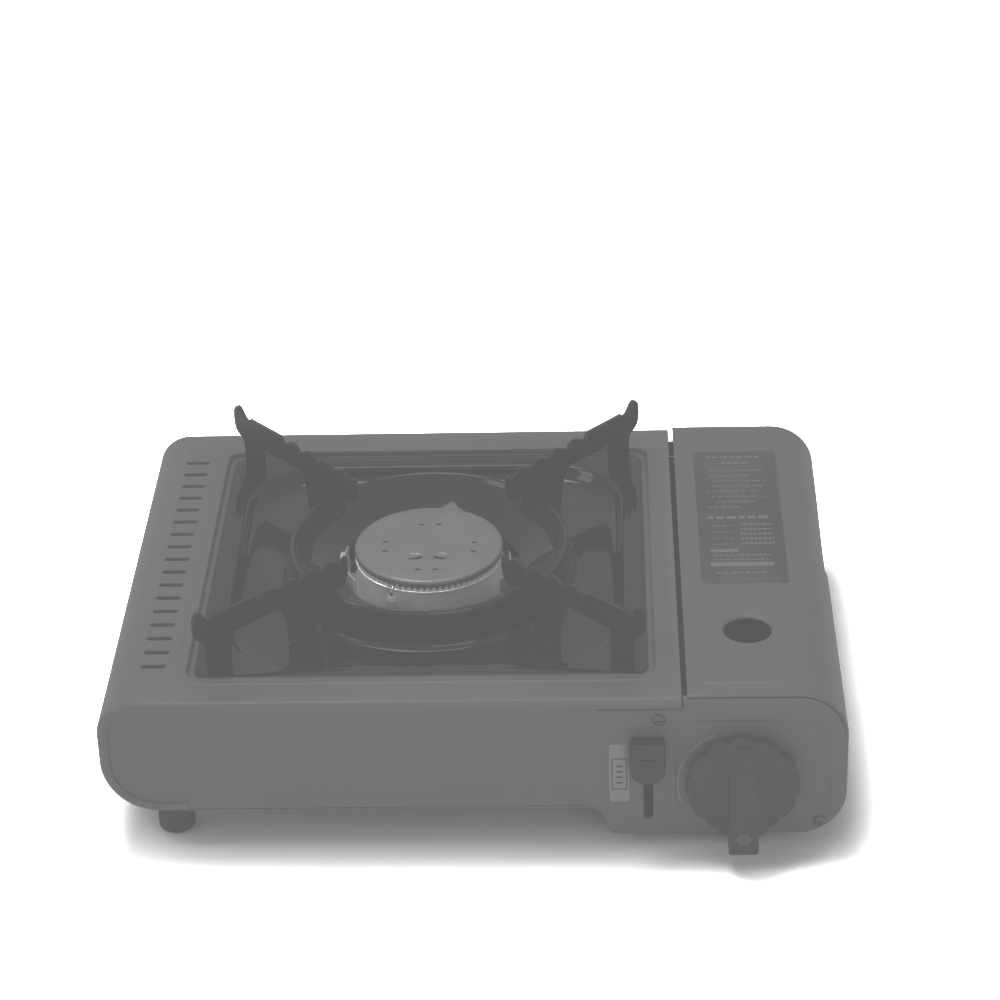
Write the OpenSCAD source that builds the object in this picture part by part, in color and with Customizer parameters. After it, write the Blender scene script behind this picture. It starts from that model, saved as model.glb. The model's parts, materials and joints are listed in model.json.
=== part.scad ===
// Portable gas stove with a flat steel case, one burner and a side bay for a gas canister.
// Frame: +X right, +Y back, +Z up, in millimetres. The origin is on the table, under the middle of the box.

/* [Case] */
// Width of the case
body_w = 340; // [330:1:360]
// Front face of the case, measured from the origin (negative is forward)
front_y = -117; // [-117:0.5:-115]
// Back face of the case
back_y = 139; // [137:0.5:141]
// Height of the top sheet
top_z = 80; // [79:0.5:82]
// Underside of the case on the burner side
left_z = 21; // [19:0.5:22]
// Underside of the case on the canister side
right_z = 6; // [5.5:0.5:7]
// Where the underside steps down to the canister side
step_x = 60; // [57:0.5:61]
// Thickness of the case sheet
sheet = 1; // [0.8:0.1:1.2]

/* [Burner] */
// Burner centre, left or right of the origin
burner_x = -23.4; // [-25:0.1:-22]
// Burner centre, front to back
burner_y = 13.1; // [12:0.1:14]
// Radius of the burner cap
cap_r = 36.1; // [34:0.1:37]
// Height of the top of the burner cap
cap_z = 87; // [86:0.1:87.5]

/* [Drip pan] */
// Side of the square opening that holds the drip pan
pan_open = 214; // [212:1:215]
// Side of the pan's rim
pan_w = 209; // [208:0.5:210]
// Corner radius of the pan's well
well_r = 36; // [30:1:40]
// Radius of the rolled rim of the burner collar
collar_r = 66; // [65:0.5:67]
// Distance of the horns of the pot arms from the burner axis
horn_r = 145.5; // [144:0.5:147]
// Height of the tips of the horns
horn_z = 110.5; // [109:0.5:112]

/* [Lid] */
// Left edge of the lid
lid_x = 98; // [97.9:0.1:99]
// Height of the lid's top above the case's top
lid_rise = 1.4; // [1:0.1:1.6]
// Radius of the viewing hole
view_r = 11.1; // [10:0.1:12]

/* [Controls] */
// Knob axis, left or right of the origin
knob_x = 123; // [122:0.5:124]
// Height of the knob axis
knob_z = 37; // [36:0.5:38]
// Radius of the knob
knob_r = 26; // [24:0.5:27]
// Turn of the knob from closed to fully open, in degrees
knob_turn = 120; // [90:5:125]
// Middle of the lock lever's slot
lever_x = 80.3; // [79.5:0.1:81]
// Travel of the lock lever
lever_travel = 20; // [18:1:20]

/* [Canister] */
// Canister axis, left or right of the origin
can_x = 132.5; // [132:0.5:133]
// Height of the canister axis
can_z = 43; // [43:0.5:43.5]
// Radius of the gas canister that the bay holds
can_r = 33.5; // [33:0.5:34]

/* [Hidden] */
$fn = 64;
half_w = body_w / 2;
gap = 0.1;               // assembly gap between fixed sheets
panel_inset = sheet + 0.4;
shell_y0 = front_y + 1;
shell_y1 = back_y - 1;
lid_y1 = back_y - 0.1;
lid_z = top_z + lid_rise;
lid_side = 0.8;          // how far the lid's right side stands outside the case's side
panel_back = front_y + 1.8;
r_top_left = 17;
r_bottom_left = 27;
r_top_right = 22;
r_bottom_right = 21;
r_step = 7;
r_step_in = 8;
lip_x = -131;            // end of the shell's lip under the left edge
shell_x1 = 95.4;         // right end of the shell's top
border_w = 4.8;          // width of the border round the front panel
border_t = 0.8;
field_depth = 0.6;       // depth of the pressed field behind the knob
crease_x = 56.7;         // right of this line the front panel steps forward, level with the border
wrap_z = 13.5;           // lower end of the lid's right side
lap = 0.3;               // gap where two sheets meet edge to edge
hinge_x = 101;
hinge_z = lid_z - 4.5;
hinge_r = 1.5;
view_x = 127.4;
view_y = -60.5;
ear_t = 1;
ear_front_y = front_y + 4.6;
ear_back_y = back_y - 6;
bracket_front_y = ear_front_y + 1.6;
bracket_back_y = ear_back_y - 1.6;
wall_x = 91.5;           // left face of the wall between the two bays
floor_z = right_z + sheet + gap;
left_floor_z = left_z + sheet + gap;
vent_count = 17;
vent_pitch = 12.09;
vent_y0 = -84;
vent_x0 = -152.3;
vent_l = 11.6;
vent_w = 3;
vent_end = vent_w / 2 - 0.01;
pan_z = 77.8;            // top of the pan's rim
well_z = 70;             // floor of the pan's well
ledge_z = pan_z - 1.05;  // top of the ledge that the pan's rim rests on
well_w = 186;
collar_hole_r = 44;
arm_t = 2.2;
arm_top = 106;           // height of the top edge of a pot arm, at 133 mm from the burner axis
arm_slope = 0.034;
tooth_pitch = 12.5;
tooth_r = 107;           // outermost notch between the teeth
// One tooth, from its outer notch inwards: distance from the notch, and height from the top edge
tooth = [
  [0, -3.2], [1, -2.8], [1.8, -1.8], [3.4, -1.5], [4.4, -0.4],
  [5.8, 0], [8.8, -0.2], [10.2, -1.2], [11.4, -2.6]
];
arm_angles = [225, -45, 45, 135];
spindle_r = 3;
crank_y = -92;
crank_z = 29;
crank_arm_l = sqrt(16 * 16 + lever_travel * lever_travel / 4);
crank_swing = atan(lever_travel / 2 / 16);
crank_push_r = 8;
crank_pin_y = crank_y + crank_push_r * sin(crank_swing);
slot_r = 2.1;            // half the width of the lever's slot
slot_end = slot_r - 0.01;
lever_z0 = 39;           // height of the lever's link pin at rest
rail_top = can_z - can_r - 0.2;
cam_r = 8;
cam_lift = 4;
spring_y0 = -80.4;
spring_y1 = -62.3;
pipe_y = -90;
pipe_z = 53;
pipe_bend_r = 8;
tube_r = 7;
// The supply pipe turns towards the burner by this angle.
tube_turn = atan2(burner_y + 87.9, 84.6 - burner_x);
igniter_y = -109;
electrode_a = 246;
electrode_r = 40.7;
// Route of the igniter's lead, held in clips along the floor and the bay wall.
lead_route = [
  [115.6, -109, 60], [110, -109, 60], [104, -107.5, 60], [98, -105.5, 60], [92, -105, 60], [86, -105, 60],
  [80, -104, 57], [75, -102, 52], [71, -100, 46], [67, -98, 40], [62, -95, 34], [54, -91, 30], [44, -85, 28],
  [32, -77, 27], [18, -68, 27], [4, -58, 27], [-12, -47, 27], [-24, -39, 28], [-33, -32, 31], [-38, -27, 36],
  [-39.7, -24.8, 42], [-39.95, -24.2, 48], [-39.95, -24.1, 54.8]
];
lead_r = 1.1;
lead_sides = 8;
front_screws = [[85.2, 69.5], [158.6, 13.1]];
rear_screws = [[-120, 66], [40, 34], [157.5, 13.5]];
bottom_screws = [[-110, -80], [-110, 100], [40, -80], [40, 100]];

enamel = [0.17, 0.17, 0.17];
paint = [0.30, 0.30, 0.30];
steel = [0.62, 0.62, 0.62];
alloy = [0.55, 0.55, 0.55];
plastic = [0.16, 0.16, 0.16];

// ---------- shared shapes ----------

// Extrudes an outline drawn in X and Z along Y.
module along_y(y0, y1) {
  translate([0, y1, 0]) rotate([90, 0, 0]) linear_extrude(y1 - y0) children();
}

// Extrudes an outline drawn in Y and Z along X.
module along_x(x0, x1) {
  translate([x0, 0, 0]) rotate([90, 0, 90]) linear_extrude(x1 - x0) children();
}

module rod_y(x, z, r, y0, y1) {
  translate([x, y1, z]) rotate([90, 0, 0]) cylinder(r = r, h = y1 - y0);
}

module rod_x(y, z, r, x0, x1) {
  translate([x0, y, z]) rotate([0, 90, 0]) cylinder(r = r, h = x1 - x0);
}

module block(x0, x1, y0, y1, z0, z1) {
  translate([x0, y0, z0]) cube([x1 - x0, y1 - y0, z1 - z0]);
}

// Flat rectangle with its own radius at each corner: bottom left, bottom right, top right, top left.
module corner_rect(x0, z0, x1, z1, bl, br, tr, tl) {
  polygon([
    [x0 + bl, z0], [x1 - br, z0], [x1, z0 + br], [x1, z1 - tr],
    [x1 - tr, z1], [x0 + tl, z1], [x0, z1 - tl], [x0, z0 + bl]
  ]);
  if (bl > 0) translate([x0 + bl, z0 + bl]) circle(bl);
  if (br > 0) translate([x1 - br, z0 + br]) circle(br);
  if (tr > 0) translate([x1 - tr, z1 - tr]) circle(tr);
  if (tl > 0) translate([x0 + tl, z1 - tl]) circle(tl);
}

module round_square(w, r) {
  corner_rect(-w / 2, -w / 2, w / 2, w / 2, r, r, r, r);
}

// Outline of the whole case seen from the front, drawn inwards by i.
module body_outline(i = 0) {
  corner_rect(-half_w + i, left_z + i, step_x + 20, top_z - i,
    r_bottom_left - i, 0, 0, r_top_left - i);
  corner_rect(step_x + i, right_z + i, half_w - i, top_z - i,
    r_step - i, r_bottom_right - i, r_top_right - i, 0);
  difference() {
    translate([step_x - r_step_in, left_z - r_step_in]) square(r_step_in + i + 0.01);
    translate([step_x - r_step_in, left_z - r_step_in]) circle(r_step_in + i);
  }
}

// Sheet metal skin that follows the case outline.
module skin(i, t) {
  difference() {
    body_outline(i);
    body_outline(i + t);
  }
}

module at_burner(z = 0) {
  translate([burner_x, burner_y, z]) children();
}

// Turned part about a vertical axis, from points of radius and height.
module turned(points) {
  rotate_extrude() polygon(points);
}

// ---------- case ----------

module vent_slots() {
  for (i = [0 : vent_count - 1])
    translate([vent_x0, vent_y0 + i * vent_pitch, top_z - 5])
      linear_extrude(10)
        corner_rect(0, -vent_w / 2, vent_l, vent_w / 2, vent_end, vent_end, vent_end, vent_end);
}

// Part of the outline that the shell covers: top and left side, and a lip under the left edge.
module shell_zone() {
  polygon([
    [-half_w - 1, 0], [lip_x, 0], [lip_x, 50], [shell_x1, 50], [shell_x1, top_z + 1], [-half_w - 1, top_z + 1]
  ]);
}

module case_shell() {
  color(paint) difference() {
    union() {
      along_y(front_y, shell_y1) intersection() {
        skin(0, sheet);
        shell_zone();
      }
      // Border turned in over the edge of the front panel
      along_y(front_y, front_y + border_t) intersection() {
        skin(0, border_w);
        shell_zone();
      }
      block(shell_x1 - 1, shell_x1, shell_y0 + 8, shell_y1 - 8, top_z - 2.6, top_z - 0.5);
      // Turned-down rim and ledge that the drip pan rests on
      at_burner(ledge_z - 0.9) linear_extrude(top_z - 0.5 - ledge_z + 0.9)
        round_square(pan_open + 2 * sheet, 7);
    }
    at_burner(ledge_z) linear_extrude(10) round_square(pan_open, 6);
    at_burner(ledge_z - 3) linear_extrude(10) round_square(pan_open - 14, 30);
    vent_slots();
  }
}

// Openings of the front panel: knob spindle, lever slot and screws.
module front_holes() {
  rod_y(knob_x, knob_z, 5, front_y - 5, front_y + 5);
  along_y(front_y - 5, front_y + 5)
    corner_rect(lever_x - slot_r, 14.7, lever_x + slot_r, 44.5, slot_end, slot_end, slot_end, slot_end);
  for (s = front_screws) rod_y(s[0], s[1], 1.7, front_y - 5, front_y + 5);
}

module front_panel() {
  back = front_y + border_t + 0.1;
  color(paint) difference() {
    union() {
      along_y(back, panel_back) body_outline(panel_inset);
      // Right half, level with the shell's border
      along_y(front_y, back + 0.1) intersection() {
        body_outline(0.2);
        polygon([[crease_x, 0], [half_w, 0], [half_w, top_z], [shell_x1 + lap, top_z],
          [shell_x1 + lap, top_z - border_w - lap], [crease_x, top_z - border_w - lap]]);
      }
      along_y(back, front_y + 4) difference() {
        skin(panel_inset, sheet);
        translate([85, 60]) square([23, 40]);
      }
    }
    // Pressed fields that lie a little back
    along_y(front_y - 1, back + 0.4) corner_rect(-163.6, 24.6, 45.7, 73.6, 21, 8, 11, 11);
    along_y(front_y - 1, front_y + field_depth) corner_rect(92, 18, 164, 69.4, 8, 12, 12, 8);
    // Room for the lid's left edge, which dips as the lid opens
    block(shell_x1 + 0.1, hinge_x + 7, front_y + 1.1, front_y + 5, hinge_z - 6, top_z + 1);
    front_holes();
  }
}

module rear_panel() {
  color(paint) difference() {
    union() {
      along_y(back_y - 1.2, back_y) body_outline(panel_inset);
      along_y(back_y - 4, back_y) difference() {
        skin(panel_inset, sheet);
        translate([85, 60]) square([23, 40]);
      }
    }
    // Room for the lid's left edge, as in the front panel
    block(shell_x1 + 0.1, hinge_x + 3, back_y - 5, back_y + 1, hinge_z - 4.2, top_z + 1);
    for (s = rear_screws) rod_y(s[0], s[1], 1.7, back_y - 5, back_y + 5);
    for (i = [0 : 11]) block(-100 + i * 12, -96 + i * 12, back_y - 3, back_y + 3, 34, 60);
  }
}

module base_tray() {
  color(paint) difference() {
    along_y(shell_y0, shell_y1) intersection() {
      skin(0, sheet);
      polygon([
        [lip_x + lap, 0], [half_w, 0], [half_w, wrap_z - lap], [step_x + 40, wrap_z - lap],
        [step_x + 15, left_z + 9], [lip_x + lap, left_z + 9]
      ]);
    }
    for (s = bottom_screws) translate([s[0], s[1], left_z - 5]) cylinder(r = 1.7, h = 10);
    // Air slots under the burner
    for (i = [0 : 6]) block(-62 + i * 13, -56 + i * 13, 30, 62, left_z - 3, left_z + 3);
  }
}

// Wall between the burner bay and the canister bay.
module bay_wall() {
  color(steel) difference() {
    union() {
      block(wall_x, wall_x + 1, -112.5, 134, floor_z, top_z - sheet - gap);
      block(85, wall_x + 1, -100, 125, floor_z, floor_z + 1);
      block(85.2, wall_x + 1, -100, 125, top_z - sheet - gap - 1, top_z - sheet - gap);
    }
    rod_x(pipe_y, pipe_z, 3.4, wall_x - 1, wall_x + 3);
    rod_x(crank_y, crank_z, 2.56, wall_x - 1, wall_x + 3);
    rod_x(-105, 60, 2.6, wall_x - 1, wall_x + 3);
    for (i = [0 : 5]) block(wall_x - 1, wall_x + 3, -40 + i * 26, -26 + i * 26, 30, 34);
  }
}

module heat_plate() {
  color(steel) difference() {
    union() {
      block(-124, 84, -92, 118, 63, 64);
      for (x = [-124, 83]) block(x, x + 1, -92, 118, 63, 74.8);
    }
    at_burner(60) cylinder(r = 44.5, h = 10);
    translate([84, -92, 60]) rotate([0, 0, 45]) cube([20, 20, 20], center = true);
  }
}

// ---------- burner ----------

module burner_bracket() {
  color(steel) at_burner() difference() {
    union() {
      translate([0, 0, 61.9]) cylinder(r = 40, h = 1);
      for (s = [-1, 1]) {
        translate([s * 38.5 - 0.5, -12, left_floor_z]) cube([1, 24, 62.9 - left_floor_z]);
        translate([s * 44 - 6, -12, left_floor_z]) cube([12, 24, 1]);
      }
      // Flat seat for the electrode holder
      rotate([0, 0, electrode_a]) translate([30, -6, 61.9]) cube([14.3, 12, 1]);
    }
    translate([0, 0, 55]) cylinder(r = 28.1, h = 20);
    rotate([0, 0, electrode_a]) translate([electrode_r, 0, 55]) cylinder(r = 2.25, h = 20);
  }
}

module burner_bowl() {
  color(alloy) difference() {
    at_burner() turned([
      [0, 42], [24, 42], [26, 44], [26, 61], [28, 63], [36, 63], [36, 64.5], [28.5, 64.5],
      [23.5, 60], [23.5, 46], [22, 44.5], [0, 44.5]
    ]);
    tube_axis() cylinder(r = tube_r + 0.06, h = 40);
  }
}

// Bell-shaped ring with a row of flame ports in its upper edge.
module port_ring() {
  top = cap_z - 4;
  color(alloy) at_burner() difference() {
    turned([
      [28.6, 64.6], [37.4, 64.6], [37.4, 66], [36.2, 70], [35.2, 75.6], [35, top - 3.8], [36, top - 3.2],
      [36, top - 2.4], [35, top - 1.8], [34.9, top], [32.4, top], [32.4, top - 3.4], [33, 75.6], [33.6, 70],
      [32.4, 66.2], [28.6, 66.2]
    ]);
    for (i = [0 : 35]) rotate([0, 0, i * 10]) translate([31, -0.7, top - 1.7]) cube([6, 1.4, 2.4]);
  }
}

module burner_cap() {
  color(alloy) at_burner() difference() {
    turned([
      [0, cap_z - 5.8], [30.8, cap_z - 5.8], [31, cap_z - 3.9], [cap_r, cap_z - 3.9], [cap_r, cap_z - 1.2],
      [cap_r - 1.2, cap_z - 0.2], [24, cap_z], [15, cap_z], [11, cap_z - 1.2], [0, cap_z - 1.2]
    ]);
    for (a = [0 : 90 : 270]) rotate([0, 0, a]) translate([22, 0, cap_z - 0.5]) cylinder(r = 1.4, h = 2);
  }
}

// Places its children at the burner with +Z along the mixing tube, towards the jet.
module tube_axis() {
  translate([burner_x, burner_y, pipe_z]) rotate([0, 0, -tube_turn]) rotate([0, 90, 0]) children();
}

module mixing_tube() {
  color(steel) tube_axis() difference() {
    union() {
      translate([0, 0, 24.2]) cylinder(r = tube_r, h = 96);
      translate([0, 0, 120.2]) cylinder(r1 = tube_r, r2 = 8.6, h = 12);
    }
    translate([0, 0, 24]) cylinder(r = tube_r - 1, h = 110);
    // Air intake windows
    translate([0, 0, 108]) cube([4, 40, 9], center = true);
  }
}

module gas_jet() {
  color("goldenrod") tube_axis() difference() {
    union() {
      translate([0, 0, 129]) cylinder(r = 2.2, h = 4);
      translate([0, 0, 133]) cylinder(r = 4, h = 5.4, $fn = 6);
    }
    translate([0, 0, 128]) cylinder(r = 0.4, h = 20);
    translate([0, 0, 134.6]) cylinder(r = 2.4, h = 10);
  }
}

// Supply pipe from the regulator through the bay wall to the jet.
module supply_pipe() {
  color("goldenrod") {
    rod_x(pipe_y, pipe_z, 2.3, 90, 107.9);
    translate([90, pipe_y + pipe_bend_r, pipe_z]) rotate([0, 0, -90 - tube_turn])
      rotate_extrude(angle = tube_turn) translate([pipe_bend_r, 0]) circle(2.3);
    translate([90 - pipe_bend_r * sin(tube_turn), pipe_y + pipe_bend_r * (1 - cos(tube_turn)), pipe_z])
      rotate([0, 0, 180 - tube_turn]) rotate([0, 90, 0]) cylinder(r = 2.3, h = 3.2);
  }
}

// ---------- gas regulator ----------

module regulator_bracket() {
  color(steel) {
    block(98.5, 150, -82, -80.8, floor_z, 26.9);
    block(108, 148, -104, -82, floor_z, floor_z + 1);
    block(108, 148, -104, -103, floor_z, 26.9);
  }
}

module regulator_body() {
  color(alloy) difference() {
    union() {
      block(108, 148, -102, -78, 27, 60);
      rod_y(knob_x, knob_z, 8, -106, -102);
      rod_y(can_x, can_z, 10.5, -78, -73);
      rod_x(pipe_y, pipe_z, 5, 104.5, 108);
      rod_x(pipe_y, can_z, 13, 148, 150);
    }
    rod_y(knob_x, knob_z, spindle_r + 0.05, -110, -92);
    rod_y(can_x, can_z, 5.55, -86, -70);
    rod_x(pipe_y, pipe_z, 2.35, 100, 108.5);
  }
}

module regulator_cover() {
  color(steel) rod_x(pipe_y, can_z, 14.5, 150.1, 152);
  color(steel) rod_x(pipe_y, can_z, 9, 152, 155.5);
}

module regulator_screws() {
  color(steel) for (a = [45 : 90 : 315])
    rod_x(pipe_y + 11.8 * cos(a), can_z + 11.8 * sin(a), 1.6, 152.05, 153.6);
}

module inlet_nozzle() {
  color("goldenrod") difference() {
    union() {
      rod_y(can_x, can_z, 5.5, -86, -68);
      rod_y(can_x, can_z, 7, -72.9, -70.4);
    }
    rod_y(can_x, can_z, 2.05, -78, -67);
    rod_y(can_x, can_z, 3.6, -71.5, -69.3);
    rod_y(can_x, can_z, 1, -90, -77);
  }
}

module inlet_seal() {
  color([0.1, 0.1, 0.1]) difference() {
    rod_y(can_x, can_z, 3.55, -71.4, -69.4);
    rod_y(can_x, can_z, 2.06, -75, -65);
  }
}

module canister_guide() {
  color(steel) difference() {
    union() {
      along_y(-66.2, -65) intersection() {
        translate([109, 0]) square([49, 60]);
        body_outline(sheet + gap);
      }
      block(109, 158, -66.2, -60.5, 60, 61);
    }
    rod_y(can_x, can_z, 17, -70, -60.5);
    block(can_x - 20, can_x + 20, -70, -60, 0, rail_top + 0.9);
  }
  // Locating tongue for the notch of the canister's collar
  color(steel) block(can_x - 2.5, can_x + 2.5, -66.2, -61.5, 61, 64);
}

// ---------- igniter ----------

module igniter_body() {
  color(plastic) difference() {
    union() {
      block(knob_x - 4.5, knob_x + 4.5, -113.4, -104.6, 53.5, 76);
      block(knob_x - 7, knob_x - 4.5, -111, -107, 58, 62);
    }
    translate([knob_x, igniter_y, 50]) cylinder(r = 2.56, h = 12);
  }
}

module igniter_plunger() {
  color([0.75, 0.75, 0.75]) translate([knob_x, igniter_y, 0]) {
    translate([0, 0, knob_z + cam_r + 0.35]) cylinder(r = 2.5, h = 11);
    translate([0, 0, knob_z + cam_r + 0.35]) cylinder(r = 3.4, h = 2);
  }
}

// Radius of the cam at an angle from its contact point, rising by cam_lift over the knob's turn.
function cam_at(a) = cam_r + cam_lift * min(max(a, 0), knob_turn) / knob_turn;

module igniter_cam() {
  // The lobe lies clockwise of the plunger, so an anticlockwise turn raises it.
  rise = [for (a = [0 : 5 : knob_turn]) [cam_at(a) * cos(90 - a), cam_at(a) * sin(90 - a)]];
  rest = [for (a = [knob_turn + 20 : 10 : 350]) [cam_r * cos(90 - a), cam_r * sin(90 - a)]];
  color([0.8, 0.8, 0.8]) difference() {
    along_y(-111.5, -106.8) translate([knob_x, knob_z]) polygon(concat(rise, rest));
    rod_y(knob_x, knob_z, spindle_r + 0.02, -115, -100);
  }
}

function unit(v) = v / norm(v);

function route_dir(i) =
  unit(lead_route[min(i + 1, len(lead_route) - 1)] - lead_route[max(i - 1, 0)]);

function ring_at(i) =
  let (d = route_dir(i), u = unit(cross(d, [0.1, 0.2, 1])), v = cross(d, u))
  [for (k = [0 : lead_sides - 1])
    lead_route[i] + lead_r * (cos(k * 360 / lead_sides) * u + sin(k * 360 / lead_sides) * v)];

module ignition_lead() {
  n = len(lead_route);
  points = [for (i = [0 : n - 1]) each ring_at(i)];
  sides = [for (i = [0 : n - 2], k = [0 : lead_sides - 1])
    let (a = i * lead_sides + k, b = i * lead_sides + (k + 1) % lead_sides)
    each [[a, b, b + lead_sides], [a, b + lead_sides, a + lead_sides]]];
  start = [for (k = [lead_sides - 1 : -1 : 0]) k];
  end = [for (k = [0 : lead_sides - 1]) (n - 1) * lead_sides + k];
  color([0.85, 0.85, 0.85]) polyhedron(points, concat(sides, [start, end]));
}

module at_electrode() {
  at_burner() rotate([0, 0, electrode_a]) translate([electrode_r, 0, 0]) children();
}

module electrode_insulator() {
  color("white") at_electrode() difference() {
    union() {
      translate([0, 0, 55]) cylinder(r = 2.2, h = 10);
      translate([0, 0, 64.1]) turned([[0, 0], [2.9, 0], [2.9, 13.6], [1.7, 15.8], [0, 15.8]]);
    }
    translate([0, 0, 54]) cylinder(r = 0.72, h = 27);
  }
}

module electrode_pin() {
  color(steel) at_electrode() {
    translate([0, 0, 56]) cylinder(r = 0.7, h = 26.2);
    translate([0, 0, 82]) sphere(0.7);
    translate([0, 0, 82]) rotate([0, -50, 0]) cylinder(r = 0.7, h = 2.6);
  }
}

// Bright strap that holds the electrode, with a wind guard at each side of the burner.
// The left guard ends in a hook.
module electrode_bracket() {
  z = 63;
  color(steel) at_burner() difference() {
    union() {
      translate([0, 0, z]) difference() {
        cylinder(r = 38.2, h = 1);
        translate([0, 0, -1]) cylinder(r = 36.3, h = 3);
      }
      translate([0, 0, z]) linear_extrude(1) ring_piece(36.3, 42, 164, 236);
      translate([0, 0, z]) linear_extrude(1) ring_piece(36.3, 44.2, 235, 262);
      translate([0, 0, z]) linear_extrude(1) ring_piece(36.3, 40, -30, 14);
      translate([0, 0, z + 0.5]) linear_extrude(16.5) ring_piece(41, 41.8, 166, 213);
      translate([0, 0, z + 0.5]) linear_extrude(13.5) ring_piece(39, 39.8, -28, 12);
      translate([0, 0, z + 16.2]) linear_extrude(0.8) ring_piece(41, 43.6, 174, 190);
      translate([0, 0, z + 13.2]) linear_extrude(3.8) ring_piece(42.9, 43.6, 174, 190);
    }
    rotate([0, 0, electrode_a]) translate([electrode_r, 0, 60]) cylinder(r = 2.25, h = 10);
  }
}

// Flat piece of a ring between two radii and two angles.
module ring_piece(r0, r1, a0, a1) {
  intersection() {
    difference() {
      circle(r1);
      circle(r0);
    }
    polygon([[0, 0], for (i = [0 : 4]) 60 * [cos(a0 + i * (a1 - a0) / 4), sin(a0 + i * (a1 - a0) / 4)]]);
  }
}

// ---------- feet, fasteners, labels ----------

module foot(x, y, h) {
  color([0.1, 0.1, 0.1]) translate([x, y, 0]) turned([[0, 0], [6.5, 0], [8.5, 2], [8.5, h], [0, h]]);
}

module foot_front_left() {
  foot(-140, -97, left_z - 0.05);
}

module foot_front_right() {
  foot(138, -97, right_z - 0.05);
}

module foot_back_left() {
  foot(-140, 119, left_z - 0.05);
}

module foot_back_right() {
  foot(138, 119, right_z - 0.05);
}

// Cross-head screw along +Z, with its head above z = 0.
module screw(l) {
  difference() {
    union() {
      turned([[0, 0.02], [2.8, 0.02], [2.8, 0.9], [1.8, 1.7], [0, 1.7]]);
      translate([0, 0, -l]) cylinder(r = 1.6, h = l + 0.1);
    }
    translate([-1.6, -0.3, 0.8]) cube([3.2, 0.6, 2]);
    translate([-0.3, -1.6, 0.8]) cube([0.6, 3.2, 2]);
  }
}

module case_screws() {
  color(steel) {
    for (s = front_screws) translate([s[0], front_y, s[1]]) rotate([90, 0, 0]) screw(5);
    for (s = rear_screws) translate([s[0], back_y - 1.7, s[1]]) rotate([-90, 0, 0]) screw_flush();
    for (s = bottom_screws) translate([s[0], s[1], left_z]) rotate([180, 0, 0]) screw(5);
  }
}

// Screw whose head sits in its hole, so that it doesn't stand out of the back.
module screw_flush() {
  turned([[0, -3], [1.65, -3], [1.65, 1.6], [0, 1.6]]);
}

module lock_label() {
  color([0.5, 0.5, 0.5]) along_y(front_y - 0.25, front_y - 0.01)
    corner_rect(62.6, 25, 71.7, 56.3, 0.8, 0.8, 0.8, 0.8);
}

// Printed arc beside the knob that shows which way it opens.
module dial_marks() {
  color([0.65, 0.65, 0.65]) along_y(front_y + field_depth - 0.2, front_y + field_depth - 0.01)
    translate([knob_x - 1, knob_z - 2.6]) difference() {
      circle(29);
      circle(27.8);
      rotate(112) translate([-40, -80]) square([80, 80]);
      rotate(202) square([60, 60]);
      for (a = [126, 146, 172]) rotate(a) translate([0, -0.4]) square([40, 0.8]);
    }
}

// One bracket at each end of the bay; each reaches up from the wall to the hinge's pin.
module hinge_brackets() {
  color(steel) for (y = [bracket_front_y, bracket_back_y]) difference() {
    union() {
      rod_y(hinge_x, hinge_z, 2.9, y, y + ear_t);
      block(hinge_x - 2.3, hinge_x + 2.9, y, y + ear_t, 62, hinge_z);
      block(wall_x + 1.1, hinge_x + 2.9, y, y + ear_t, 62, 68);
      block(wall_x + 1.1, wall_x + 2.2, y - 4, y + ear_t + 2, 62, 68);
    }
    rod_y(hinge_x, hinge_z, hinge_r + 0.02, y - 2, y + 3);
  }
}

module hinge_pins() {
  color(steel) {
    rod_y(hinge_x, hinge_z, hinge_r, ear_front_y - 0.3, bracket_front_y + ear_t + 1);
    rod_y(hinge_x, hinge_z, 2.6, bracket_front_y + ear_t + 0.1, bracket_front_y + ear_t + 1.1);
    rod_y(hinge_x, hinge_z, hinge_r, bracket_back_y - 1, ear_back_y + ear_t + 0.3);
    rod_y(hinge_x, hinge_z, 2.6, bracket_back_y - 1.1, bracket_back_y - 0.1);
  }
}

// ---------- lid of the canister bay ----------

// Outline of the lid, drawn inwards by i: flat top, shoulder, and a side that wraps under the case's edge.
module lid_outline(i) {
  corner_rect(lid_x - 20, right_z + i, half_w + lid_side - i, lid_z - i,
    0, r_bottom_right + lid_side - i, r_top_right + lid_side - i, 0);
}

module lid_shell() {
  color(paint) difference() {
    union() {
      along_y(shell_y0 + 0.2, lid_y1) intersection() {
        difference() {
          lid_outline(0);
          lid_outline(sheet);
        }
        polygon([[lid_x, 60], [half_w - 22, 60], [half_w - 22, wrap_z], [half_w + 2, wrap_z],
          [half_w + 2, lid_z + 1], [lid_x, lid_z + 1]]);
      }
      for (y = [ear_front_y, ear_back_y]) along_y(y, y + ear_t) {
        translate([hinge_x, hinge_z]) circle(3);
        polygon([[hinge_x - 1.6, hinge_z], [hinge_x + 7, hinge_z], [hinge_x + 12, lid_z - 0.5],
          [hinge_x - 1.6, lid_z - 0.5]]);
      }
      // Raised ring round the viewing hole
      translate([view_x, view_y, lid_z - 0.5]) cylinder(r = 15, h = 0.9);
    }
    translate([view_x, view_y, lid_z - 5]) cylinder(r = view_r, h = 10);
    for (y = [ear_front_y, ear_back_y]) rod_y(hinge_x, hinge_z, hinge_r + 0.05, y - 2, y + 3);
  }
}

// Leaf spring under the lid that steadies the canister.
module lid_clip() {
  z = lid_z - sheet - 0.1;
  color(steel) {
    block(122, 143, 40, 50, z - 0.8, z);
    block(122, 123, 40, 50, z - 1.9, z);
    block(142, 143, 40, 50, z - 1.9, z);
  }
}

module lid_label() {
  color([0.2, 0.2, 0.2]) translate([0, 0, lid_z + 0.01]) linear_extrude(0.2)
    corner_rect(107.8, -19, 149.2, 110.4, 3, 3, 3, 3);
}

// ---------- knob, spindle, lever ----------

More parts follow.
